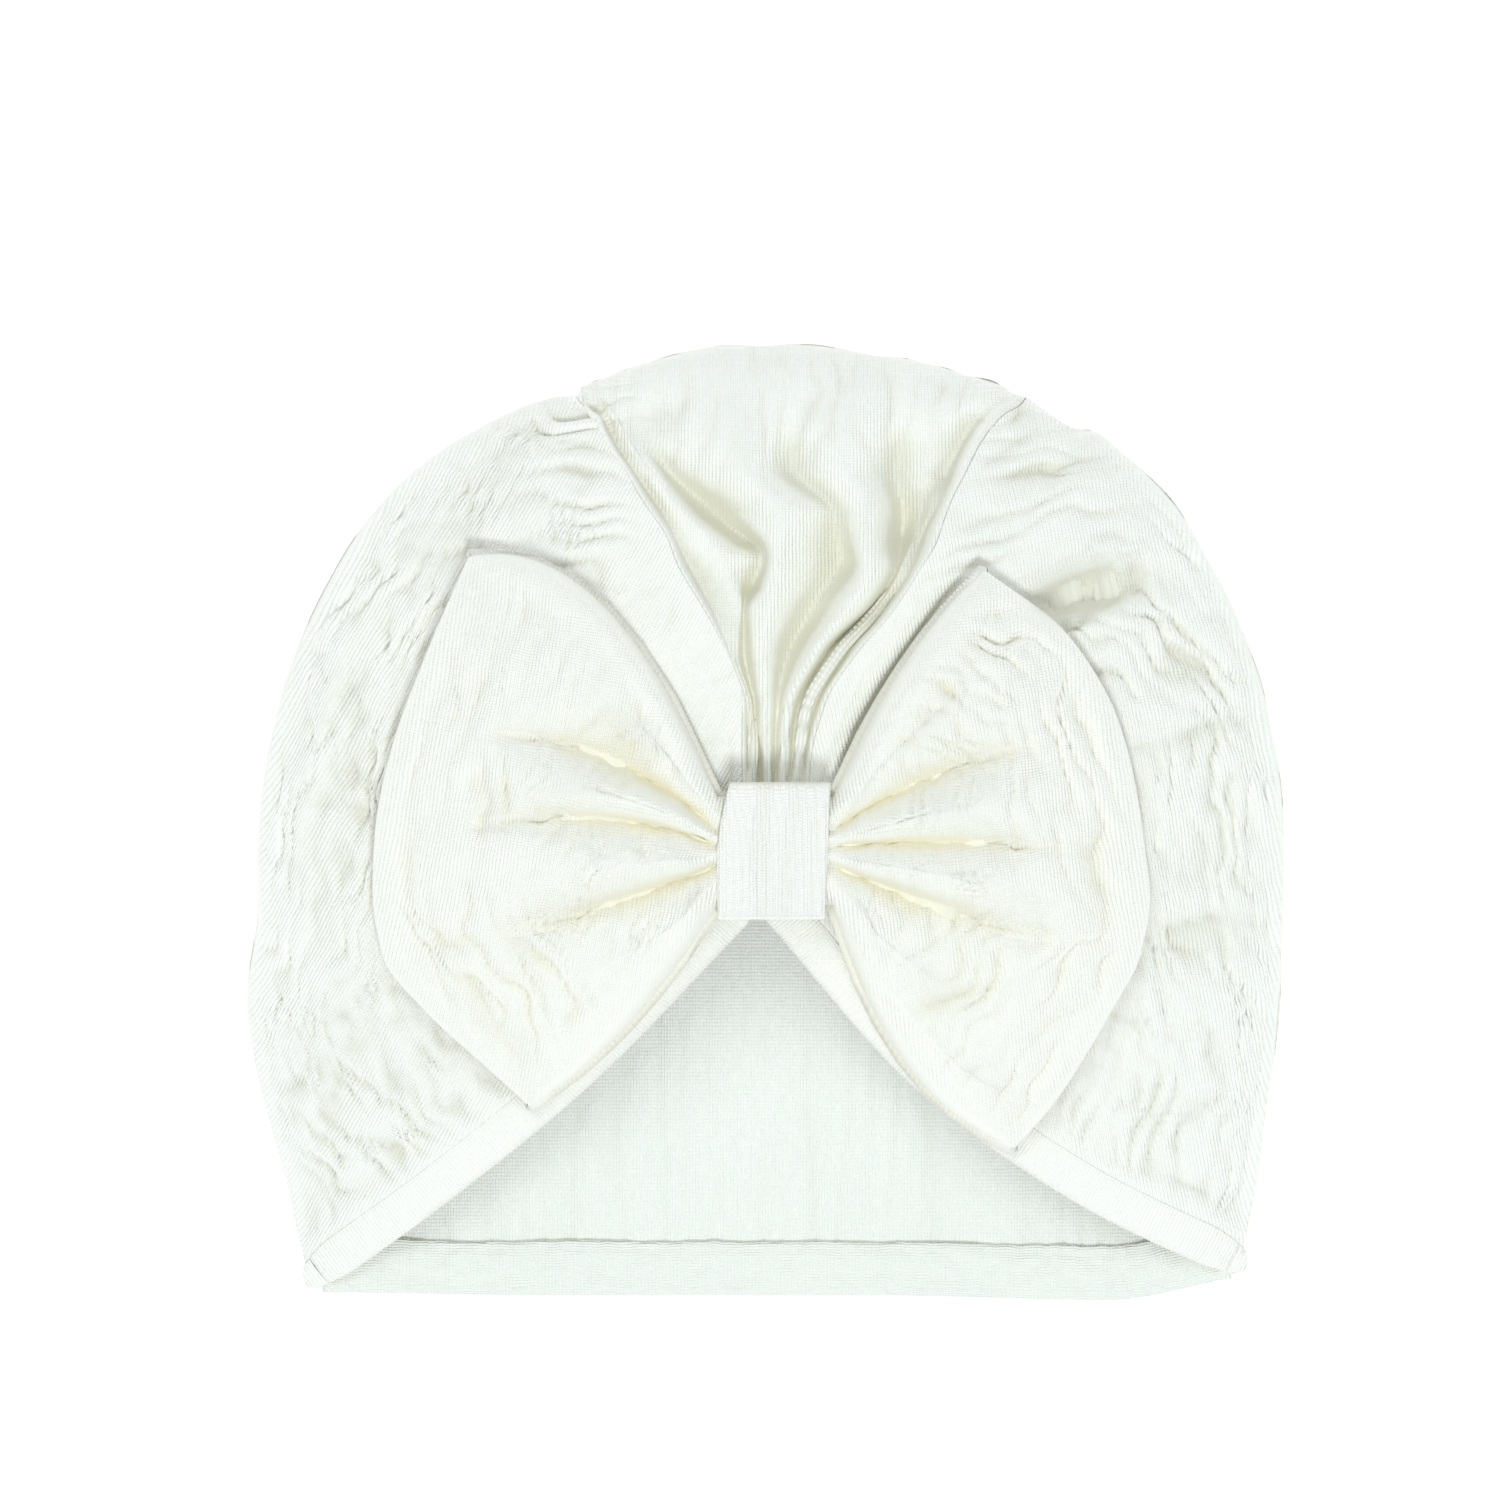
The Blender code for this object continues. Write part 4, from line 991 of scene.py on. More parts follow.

# Puckers of the back wall: turn in degrees, length, spacing, seed, depth of the valleys and the swells in
# millimetres, painted shade of the valleys and the swells.
BACK_PUCKERS = (
    (90.0, 60 * MM, 6.5 * MM, 300, 0.35, 0.30, 0.30, 0.12),
    (88.0, 12 * MM, 3.0 * MM, 320, 0.10, 0.10, 0.15, 0.0),
)

# Painted shade on the wall's lower part, and the shares of the half height between which it fades.
BACK_LOW_SHADE = 0.30
BACK_LOW_SPAN = (-0.95, -0.40)


def back_edge_point(share):
    """Point of the back wall's lower edge, at a share of its length, drawn in by the hem's turn."""
    points = np.array([scaled(*p) for p in BACK_EDGE])
    left = points[0, 0] + BACK_CORNER * CLOTH
    right = points[-1, 0] - BACK_CORNER * CLOTH
    across = left + (right - left) * share
    up = smooth_through(points[:, 0], points[:, 1], across) + CLOTH + GAP
    return np.stack([across, up], axis=1)


def make_crown_back():
    """Back wall, whose fine face is the inner one that shows in the opening."""
    rim = crown_outer()[0][:, -1, :2]
    length = lengths_along(rim)
    along = np.linspace(0.0, 1.0, BACK_COLUMNS)
    rim = np.stack([np.interp(along * length[-1], length, rim[:, k]) for k in (0, 1)], axis=1)
    edge = back_edge_point(along)
    shares = np.linspace(0.0, 1.0, BACK_ROWS) ** BACK_CROWDING
    plane = edge[:, None] + (rim - edge)[:, None] * shares[None, :, None]
    across = plane[:, :, 0]
    up = plane[:, :, 1]
    depth = 0 * up
    fold = 0 * up
    for turn, length, spacing, seed, valley_depth, swell_depth, valley_shade, swell_shade in BACK_PUCKERS:
        valley, swell = pucker(across, up, turn, length, spacing, seed)
        swell = 0.5 + 0.5 * swell
        depth = depth + valley * valley_depth + swell * swell_depth
        fold = fold + valley_shade * valley + swell_shade * swell
    height = CLOTH + BACK_BULGE - depth * MM
    top = np.concatenate([plane, height[:, :, None]], axis=2)
    low, high = BACK_LOW_SPAN
    # Painted shade, darker towards the wall's lower edge.
    fold = fold + BACK_LOW_SHADE * (1 - smooth_step(up, low * HALF_HEIGHT, high * HALF_HEIGHT))
    back = cloth_solid("crown_back", top, 0 * up, knit_place(across, up, 0.0), fold)
    for vertex in back.data.vertices:
        if vertex.co.z < BACK_FLAT * CLOTH:
            vertex.co.z = 0.0
    return back


# Hems

def sweep(name, path, sections, fold=0.0):
    """Solid swept along a path in space; sections holds (side, up) pairs for each step of the path."""
    along = unit(np.gradient(path, axis=0))
    side = unit(np.cross(along, (0.0, 0.0, 1.0)))
    lift = np.cross(side, along)
    count = sections.shape[1]
    points = path[:, None] + side[:, None] * sections[:, :, :1] + lift[:, None] * sections[:, :, 1:]
    faces = []
    for k in range(len(path) - 1):
        here = k * count
        there = here + count
        for i in range(count):
            j = (i + 1) % count
            faces.append((here + i, there + i, there + j, here + j))
    last = (len(path) - 1) * count
    faces.append(tuple(range(count)))
    faces.append(tuple(range(last, last + count))[::-1])
    around = np.array([lengths_along(section) for section in sections])
    way = np.broadcast_to(lengths_along(path)[:, None], around.shape)
    grain = np.stack([way, around, 0 * around], axis=2)
    plain = np.ones_like(around)
    return mesh_object(name, points.reshape(-1, 3), faces, grain.reshape(-1, 3), fold * plain, plain)


HEM_ARM_STEPS = 240
HEM_TURN_STEPS = 25
HEM_ROLL_STEPS = 15
HEM_TOP_STEPS = 8
HEM_OVERRUN_STEPS = 8
HEM_ROLL_SHARE = 0.36

# Thin lip over the crown: its width and its rise towards it, then share of the width and rise in millimetres
# of its points, and where its root is below the top.
HEM_LIP = 2.0 * MM
HEM_LIP_RISE = 0.20 * MM
HEM_LIP_POINTS = ((0.5, 0.08), (0.9, -0.14), (0.97, -0.20), (1.0, -0.26), (0.9, -0.32))
HEM_LIP_ROOT = -0.34

# Ends of the roll: how far they pass the corners, their radius and least size, and the shares of the size and
# of the roll's length over which the roll grows thinner towards them.
HEM_OVERRUN = 1.8 * MM
HEM_END_RADIUS = 2.2 * MM
HEM_END_LEAST = 0.01
HEM_THINNING = 0.40
HEM_THINNING_REACH = 0.05

# Lumps of the roll: height in millimetres, change along and round it, seed; and where they show, as shares of
# the roll's thickness and width.
HEM_LUMPS = ((0.30, 55, 0.28, 411), (0.16, 150, 0.35, 412))
HEM_SHOWING_UP = (-0.2, 0.4)
HEM_SHOWING_SIDE = (-0.5, -0.1)

# How far a section follows the crown's slope down and up.
HEM_SLOPE_LIMITS = (-1.5 * MM, 2.5 * MM)


def hem_outline():
    """Section of the rolled edge: round towards the opening, flat on top, with a thin lip over the crown."""
    half_wide = FRONT_HEM_WIDTH / 2
    half_thick = FRONT_HEM_THICKNESS / 2
    roll = FRONT_HEM_WIDTH * HEM_ROLL_SHARE
    turns = np.radians(np.linspace(-90.0, 90.0, HEM_ROLL_STEPS))
    points = [(half_wide - roll + roll * math.cos(t), half_thick * math.sin(t)) for t in turns]
    for share in np.linspace(0.0, 1.0, HEM_TOP_STEPS + 1)[1:]:
        place = half_wide - roll - share * (FRONT_HEM_WIDTH - roll)
        points.append((place, half_thick + share * HEM_LIP_RISE))
    for share, rise in HEM_LIP_POINTS:
        points.append((-half_wide - share * HEM_LIP, half_thick + rise * MM))
    points.append((-half_wide, half_thick + HEM_LIP_ROOT * MM))
    points.append((-half_wide, -half_thick))
    return np.array(points)


def make_front_hem():
    """Roll along the left side of the opening, round its top and down the right side."""
    shares = np.linspace(0.0, 1.0, HEM_ARM_STEPS)
    left = opening_line(LEFT_OPENING, FRONT_HEM_WIDTH / 2, shares)
    right = opening_line(RIGHT_OPENING, -FRONT_HEM_WIDTH / 2, shares)[::-1]
    middle = (left[-1] + right[0]) / 2
    half = (right[0] - left[-1]) / 2
    top = np.array([-half[1], half[0]])
    turns = np.linspace(math.pi, 0.0, HEM_TURN_STEPS + 2)[1:-1]
    bend = np.array([middle + half * math.cos(t) + top * math.sin(t) for t in turns])
    start = (left[0] - left[1]) / np.linalg.norm(left[0] - left[1])
    finish = (right[-1] - right[-2]) / np.linalg.norm(right[-1] - right[-2])
    reach = np.linspace(HEM_OVERRUN, 0.0, HEM_OVERRUN_STEPS + 1)[:-1, None]
    plane = np.vstack([left[0] + start * reach, left, bend, right, right[-1] + finish * reach[::-1]])
    height = dome(plane[:, 0], plane[:, 1]) - FRONT_HEM_THICKNESS / 2
    path = np.column_stack([plane, np.maximum(height, FRONT_HEM_THICKNESS / 2 + CLOTH + 2 * GAP)])
    share = np.arange(len(path)) / (len(path) - 1)
    end = np.minimum(share, 1 - share)
    length = lengths_along(plane)
    from_end = np.minimum(length, length[-1] - length)
    blunt = 1 - np.clip(from_end / HEM_END_RADIUS, 0.0, 1.0)
    taper = 1 - HEM_THINNING + HEM_THINNING * smooth_step(end, 0.0, HEM_THINNING_REACH)
    taper = taper * np.sqrt(np.maximum(1 - blunt ** 2, HEM_END_LEAST))
    outline = hem_outline()
    place = lengths_along(outline) / MM
    lump = sum(height * noise(share[:, None] * change_along, place[None, :] * change_round, seed)
               for height, change_along, change_round, seed in HEM_LUMPS)
    low, high = HEM_SHOWING_UP
    showing = smooth_step(outline[:, 1], low * FRONT_HEM_THICKNESS, high * FRONT_HEM_THICKNESS)
    low, high = HEM_SHOWING_SIDE
    showing = showing * smooth_step(outline[:, 0], low * FRONT_HEM_WIDTH, high * FRONT_HEM_WIDTH)
    sections = outline[None, :, :] * taper[:, None, None]
    sections[:, :, 1] += (lump * showing[None, :]) * MM * taper[:, None]
    spot = plane[:, None] + inward_normals(plane)[:, None] * sections[:, :, :1]
    slope = dome(spot[:, :, 0], spot[:, :, 1]) - dome(plane[:, 0], plane[:, 1])[:, None]
    sections[:, :, 1] += np.clip(slope, *HEM_SLOPE_LIMITS)
    return sweep("front_hem_roll", path, sections)


BACK_HEM_STEPS = 300
BACK_HEM_TOP_STEPS = 13
BACK_HEM_TURNS = (60.0, 40.0, 20.0, 0.0)
# Painted shade over the whole turned edge.
BACK_HEM_SHADE = 0.50

# Height of the turned layer: parts at the very corner, after a short round and after a long one, and the
# shares of the length over which the last two come in.
BACK_HEM_PARTS = (0.25, 0.20, 0.55)
BACK_HEM_CORNERS = (0.012, 0.06)

# Waves of its upper edge: height, change along it, seed.
BACK_HEM_WAVES = ((0.5 * MM, 9, 431), (0.2 * MM, 40, 432))

# Its face, in millimetres: lift, depth of the rounding at its edge and how soon that ends; depth, place and
# width of the seam; height of the puckers, their change along and up the layer, and their seed.
BACK_HEM_LIFT = 0.25
BACK_HEM_ROUNDING = 0.5
BACK_HEM_ROUNDING_END = 6
BACK_HEM_SEAM = (0.35, 0.14, 0.05)
BACK_HEM_PUCKERS = ((0.35, 45, 2.2, 433), (0.2, 110, 4, 434))

# Its underside at the turn: across and up, in cloths.
BACK_HEM_UNDERSIDE = ((-0.15, 0.3), (-0.5, 0.0))


def make_back_hem():
    """Turned edge: a web round the wall's end and a layer on the wall's inner face."""
    points = np.array([scaled(*p) for p in BACK_EDGE])
    across = np.linspace(points[0, 0] - 0.5 * CLOTH, points[-1, 0] + 0.5 * CLOTH, BACK_HEM_STEPS)
    up = smooth_through(points[:, 0], points[:, 1], across)
    path = np.column_stack([across, up, np.zeros(len(across))])
    share = np.arange(BACK_HEM_STEPS) / (BACK_HEM_STEPS - 1)
    end = np.minimum(share, 1 - share)
    corner, short, long = BACK_HEM_PARTS
    tall = corner + short * np.sqrt(np.clip(end / BACK_HEM_CORNERS[0], 0.0, 1.0))
    tall = BACK_HEM_HEIGHT * (tall + long * smooth_step(end, 0.0, BACK_HEM_CORNERS[1]))
    for height, change, seed in BACK_HEM_WAVES:
        tall = tall + height * noise(share * change, 0 * share, seed)
    lower = CLOTH + GAP
    upper = lower + CLOTH
    seam_depth, seam_place, seam_width = BACK_HEM_SEAM
    sections = []
    for here, high in zip(share, tall):
        outline = [(-CLOTH, 0.0), (-CLOTH, lower), (-high, lower)]
        for t in np.linspace(0.0, 1.0, BACK_HEM_TOP_STEPS):
            edge = -BACK_HEM_ROUNDING * (1 - min(1.0, t * BACK_HEM_ROUNDING_END)) ** 2
            swell = sum(height * noise(here * change_along, t * change_up, seed)
                        for height, change_along, change_up, seed in BACK_HEM_PUCKERS)
            seam = seam_depth * math.exp(-((t - seam_place) / seam_width) ** 2)
            rise = (edge + BACK_HEM_LIFT + swell - seam) * MM
            outline.append((-high * (1 - t) - CLOTH * t, upper + rise))
        for turn in BACK_HEM_TURNS:
            a = math.radians(turn)
            outline.append((-CLOTH + CLOTH * math.cos(a), upper / 2 + upper / 2 * math.sin(a)))
        outline += [(across_share * CLOTH, up_share * CLOTH) for across_share, up_share in BACK_HEM_UNDERSIDE]
        sections.append(outline)
    return sweep("back_hem_fold", path, np.array(sections)[:, ::-1], BACK_HEM_SHADE)


# Bow

# Places of the columns in WING_LINES: the left and the right wing's first, and the crease depth.
LEFT_WING = 2
RIGHT_WING = 6
WING_CREASE = 10

WING_COLUMNS = 88
WING_BACK_COLUMNS = 27
WAIST_COLUMNS = 5
WAIST_SAMPLES = 9
WING_ROW_STEPS = 20
WING_CURL_STEPS = 4
WING_EDGE_CROWDING = 1.6
WING_OUTER_CROWDING = 1.4
WAIST_HALF_WIDTH = BAND_WIDTH / 2 + GAP
WAIST_HALF_HEIGHT = BAND_HEIGHT / 2 - CLOTH - GAP - WAIST_ROUNDING
# Strength of the painted shade in the bow's hollows.
BOW_CAVITY = 0.8

# Shares of a wing's length where its front starts at the waist, and where its back starts and ends.
WING_FRONT_START = 0.04
WING_BACK_SPAN = (0.985, 0.10)

# Shares of a wing's length over which it leaves the waist's seat, swells and lifts its rims.
WAIST_SEAT_SPAN = (0.0, 0.25)
WING_SWELL_START = (-0.02, 0.16)
WING_RIM_LIFT = (0.0, 0.4)

# Where the band's layer under the waist lifts the bow, in widths of the band, and how much of the crown's
# dents the bow follows.
BAND_SEAT_SPAN = (0.55, 1.3)
BOW_DENT_SHARE = 0.85

# Rolled edges of a wing: radius, slope, shares of the length over which the roll starts and ends, and the
# radius of what is left square.
WING_EDGE_RADIUS = 2.6 * MM
WING_EDGE_SLOPE = 0.6
WING_ROLL_START = (-0.10, 0.18)
WING_ROLL_END = 1.03
WING_ROLL_ENDING = 0.12
SQUARE_RADIUS = 0.1 * MM

# Row from which the direction out of a wing's edge is measured.
EDGE_PROBE = 4

# Sharp creases: the lines that have them, depth, lean, how unevenly they lean and how fast that changes
# along and across the wing; then how far, in lines, they reach above and below, and their lean below.
CREASE_ROWS = tuple(k for k, row in enumerate(WING_LINES) if row[WING_CREASE] > 0.5)
NOTCH_DEPTH = 3.4 * MM
NOTCH_LEAN = 1.9 * MM
NOTCH_WOBBLE = 0.6
NOTCH_CHANGES = (22, 0.9)
NOTCH_REACHES = (0.30, 0.10, 0.22)
# Painted shade in the creases' sharp bottoms and in the broad creases between the lobes.
NOTCH_SHADE = 0.75
LOBE_SHADE = 0.16

# Distances from the bow's edges over which the puckers come in, their share at the edge, and the way from the
# band over which they come in.
WING_CALM_SPAN = (0.8 * MM, 6.0 * MM)
WING_EDGE_CALM = 0.12
BAND_CALM = 4 * MM

# Turn of the wales on the left and the right wing, in degrees.
BOW_GRAINS = (80.0, 98.0)


def wing_lines(side, stations):
    """Lines of one wing at shares of its length, 0 at the band's side and 1 at the outer fold."""
    lines = []
    first = LEFT_WING if side < 0 else RIGHT_WING
    for row in WING_LINES:
        start = KNOT + (side * WAIST_HALF_WIDTH, row[1] * WAIST_HALF_HEIGHT)
        middle = scaled(row[first], row[first + 1])
        end = scaled(row[first + 2], row[first + 3])
        control = 2 * middle - (start + end) / 2
        t = np.asarray(stations)[:, None]
        lines.append(start * (1 - t) ** 2 + control * 2 * t * (1 - t) + end * t ** 2)
    return np.array(lines)


def bow_seat(across, up):
    """Underside of the bow: clear of the crown, and of the band's layer at the waist."""
    low, high = BAND_SEAT_SPAN
    at_band = 1 - smooth_step(np.abs(across - KNOT[0]), BAND_WIDTH * low, BAND_WIDTH * high)
    return dome(across, up) - BOW_DENT_SHARE * dent_depth(across, up) + 2 * GAP + (CLOTH + GAP) * at_band


@functools.lru_cache(maxsize=None)
def waist_seat():
    """Height of the bow's underside at the knot, the same all over the waist."""
    shares = np.linspace(-1.0, 1.0, WAIST_SAMPLES)
    across = KNOT[0] + shares[:, None] * BAND_WIDTH / 2
    up = KNOT[1] + shares[None, :] * BAND_HEIGHT / 2
    return float(np.max(dome(across + 0 * up, up + 0 * across))) + CLOTH + 3 * GAP


def bow_rows():
    """Places of the bow's rows, counted in its lines, closer together at both edges."""
    last = len(WING_LINES) - 1
    rows = np.linspace(0, last, last * WING_ROW_STEPS + 1)
    rows[rows < 1] = rows[rows < 1] ** WING_EDGE_CROWDING
    rows[rows > last - 1] = last - (last - rows[rows > last - 1]) ** WING_EDGE_CROWDING
    return rows


def notch(rows):
    """Sharp bottom of the creases: steep below each line, gentle above it."""
    depth = np.zeros(len(rows))
    lean = np.zeros(len(rows))
    above, below, leaning = NOTCH_REACHES
    for line in CREASE_ROWS:
        off = rows - line
        depth = np.maximum(depth, np.where(off > 0, np.exp(-off / above), np.exp(off / below)))
        lean = np.maximum(lean, np.where(off <= 0, np.exp(off / leaning), 0.0))
    return depth, lean


def bow_creases(rows):
    """Share of the creases' depth at each row, and how near the row is to the bow's edges."""
    crease = np.array([row[WING_CREASE] for row in WING_LINES])
    return blend_drops(crease[:, None], rows)[:, 0], np.abs(rows / rows[-1] * 2 - 1)


def curled(surface, radius):
    """Adds rolled edges to a layer: rows that round off and turn under at both ends."""
    def one_end(grid):
        edge = grid[:, :1, :2]
        outward = edge - grid[:, EDGE_PROBE:EDGE_PROBE + 1, :2]
        outward /= np.maximum(np.linalg.norm(outward, axis=2, keepdims=True), TINY_LENGTH)
        inside = np.linalg.norm(grid[:, :, :2] - edge, axis=2)
        r = radius[:, None]
        short = np.clip(r - inside, 0.0, None)
        grid = grid.copy()
        top = grid[:, 0, 2].copy()
        grid[:, :, 2] -= r - np.sqrt(np.maximum(r * r - short * short, 0.0))
        under = []
        for k in range(1, WING_CURL_STEPS + 1):
            turn = math.pi / 2 * (1 + k / WING_CURL_STEPS)
            plane = edge[:, 0] + outward[:, 0] * (r * (math.sin(turn) - 1))
            under.append(np.column_stack([plane, top - radius + radius * math.cos(turn)]))
        return np.concatenate([np.stack(under[::-1], axis=1), grid], axis=1)

    lower = one_end(surface)
    rolled = one_end(lower[:, WING_CURL_STEPS:][:, ::-1])
    return np.concatenate([lower[:, :WING_CURL_STEPS], rolled[:, ::-1]], axis=1)


def wing_surface(side, stations, back):
    """One layer of a wing: columns along it, rows from its lower to its upper edge."""
    t = np.asarray(stations)
    lines = wing_lines(side, t)
    rows = bow_rows()
    knots = np.arange(len(lines))
    plane = np.array([through_points(knots, lines[:, k], rows) for k in range(len(t))])
    along = t[:, None]
    drop, edge = [values[None, :] for values in bow_creases(rows)]
    sharp, lean = [values[None, :] for values in notch(rows)]
    fade = smooth_through([p[0] for p in CREASE_FADE], [p[1] for p in CREASE_FADE], t)[:, None]
    if not back:
        upward = np.gradient(plane, axis=1)
        upward /= np.maximum(np.linalg.norm(upward, axis=2, keepdims=True), TINY_LENGTH)
        change_along, change_up = NOTCH_CHANGES
        wobble = noise(along * change_along, rows[None, :] * change_up, NOTCH_SEED + side)
        wobble = 1 + NOTCH_WOBBLE * wobble
        plane = plane + upward * (lean * NOTCH_LEAN * fade ** 2 * wobble)[:, :, None]
    own_seat = bow_seat(plane[:, :, 0], plane[:, :, 1])
    near_waist = 1 - smooth_step(along, *WAIST_SEAT_SPAN)
    seat = np.maximum(own_seat * (1 - near_waist) + waist_seat() * near_waist, own_seat)
    low, high = WING_SWELL_SPAN
    swell = np.sin(math.pi * (low + (high - low) * along)) ** WING_SWELL_ROUNDNESS
    swell = swell * smooth_step(along, *WING_SWELL_START)
    middle = WAIST_THICKNESS + (WING_LOFT - WAIST_THICKNESS) * swell
    waist_rim = WAIST_THICKNESS * WAIST_EDGE_SHARE
    rim_loft = waist_rim + (WING_EDGE_LOFT - waist_rim) * smooth_step(along, *WING_RIM_LIFT)
    loft = rim_loft + (middle - rim_loft) * (1 - edge ** WING_EDGE_ROUNDNESS) ** WING_EDGE_SLOPE
    centre = seat + WING_END_THICKNESS / 2
    closing = np.sqrt(np.maximum(1 - along ** WING_FOLD_ROUNDNESS, 0.0))
    if back:
        height = centre - WING_END_THICKNESS / 2 * closing
        radius = np.full(len(t), SQUARE_RADIUS)
        fold = 0 * height
    else:
        # Painted shade in the creases and between the lobes.
        fold = (NOTCH_SHADE * sharp ** 2 + LOBE_SHADE * drop) * fade
        fall = drop * WING_CREASE_DEPTH * fade + sharp * NOTCH_DEPTH * fade
        height = centre + (loft - WING_END_THICKNESS / 2 - fall) * closing
        radius = WING_EDGE_RADIUS * smooth_step(t, *WING_ROLL_START)
        radius = np.maximum(radius * smooth_step(WING_ROLL_END - t, 0.0, WING_ROLL_ENDING), SQUARE_RADIUS)
    surface = curled(np.concatenate([plane, height[:, :, None]], axis=2), radius)
    return surface, np.pad(fold, ((0, 0), (WING_CURL_STEPS, WING_CURL_STEPS)), mode="edge")


def waist_layer(shares, back):
    """Rows of the bow under the band, at shares of the waist's half width."""
    rows = bow_rows()
    places = np.array([row[1] for row in WING_LINES])
    up = KNOT[1] + WAIST_HALF_HEIGHT * smooth_through(np.arange(len(places)), places, rows)
    crease, edge = bow_creases(rows)
    drop = crease * WING_CREASE_DEPTH * CREASE_FADE[0][1]
    low = waist_seat() + WAIST_ROUNDING * edge ** WAIST_CORNER_ROUNDNESS
    swell = np.sqrt(1 - edge ** WING_EDGE_ROUNDNESS)
    high = waist_seat() + WAIST_THICKNESS * (WAIST_EDGE_SHARE + (1 - WAIST_EDGE_SHARE) * swell) - drop
    layers = []
    for share in shares:
        across = np.full(len(rows), KNOT[0] + share * WAIST_HALF_WIDTH)
        layers.append(np.column_stack([across, up, low if back else high]))
    surface = curled(np.array(layers), np.full(len(shares), SQUARE_RADIUS))
    return surface, np.zeros(surface.shape[:2])


def make_bow():
    """One closed loop of cloth: front from the left fold to the right fold, then back again."""
    spread = np.linspace(0.0, 1.0, WING_COLUMNS)
    front = WING_FRONT_START + (1 - WING_FRONT_START) * (1 - (1 - spread) ** WING_OUTER_CROWDING)
    back = np.linspace(*WING_BACK_SPAN, WING_BACK_COLUMNS)
    waist = np.linspace(-1.0, 1.0, WAIST_COLUMNS)
    layers = [
        wing_surface(-1, front[::-1], False),
        waist_layer(waist, False),
        wing_surface(1, front, False),
        wing_surface(1, back, True),
        waist_layer(waist[::-1], True),
        wing_surface(-1, back[::-1], True),
    ]
    bow = np.concatenate([layer[0] for layer in layers])
    fold = np.concatenate([layer[1] for layer in layers])
    showing = 2 * WING_COLUMNS + WAIST_COLUMNS
    across = bow[:, :, 0]
    up = bow[:, :, 1]
    depth, shade = puckers(across, up, BOW_PUCKERS, BOW_SEED)
    creases = crease_depth(across, up, BOW_CREASES)
    from_band = smooth_step(np.abs(across - KNOT[0]), WAIST_HALF_WIDTH, WAIST_HALF_WIDTH + BAND_CALM)
    plane = bow[:, :, :2]
    ends = (plane[:, :1], plane[:, -1:], plane[:1], plane[showing - 1:showing])
    from_edge = np.min([np.linalg.norm(plane - end, axis=2) for end in ends], axis=0)
    calm = from_band * (WING_EDGE_CALM + (1 - WING_EDGE_CALM) * smooth_step(from_edge, *WING_CALM_SPAN))
    calm[showing:] = 0.0
    depth = (depth + creases * CREASE_BOOST + rolling(across, up, BOW_ROLLING_SEED)) * calm
    fold = fold + pucker_fold(shade, creases) * calm
    left, right = [knit_place(across, up, turn) for turn in BOW_GRAINS]
    grain = np.where((across < KNOT[0])[:, :, None], left, right)
    return cloth_solid("bow_cloth", bow, depth, grain, fold, closed=True, cavity=BOW_CAVITY)


# Knot band

BAND_TURNS = 160
BAND_COLUMNS = 81
BAND_RIB = 1.25 * MM

# Painted shade of the folds and of the band's top, and the share of the half height over which the latter
# comes in.
BAND_SHADE = 0.42
BAND_TOP_SHADE = 0.8
BAND_TOP_SPAN = (0.80, 1.0)

# Half width and sideways shift at the bottom, in the middle and at the top.
BAND_PLACES = (-1.0, 0.0, 1.0)
BAND_HALF_WIDTHS = (9.8 * MM, 10.2 * MM, 9.3 * MM)
BAND_LEANS = (-0.7 * MM, -0.5 * MM, 0.9 * MM)

# Soft folds along the band: strength, place across, lean, width (shares of the half width).
BAND_FOLDS = ((1.0, -0.22, -0.05, 0.13), (0.8, 0.32, 0.08, 0.16), (0.5, 0.74, 0.0, 0.12))

# Depth in millimetres of the ribs, the waves, the rounded rims and the folds; change of the waves across and
# round the band; sharpness of the rims.
BAND_DEPTHS = (0.12, 0.30, 0.9, 0.75)
BAND_WAVE_CHANGES = (2.0, 0.9)
BAND_RIM_SHARPNESS = 14


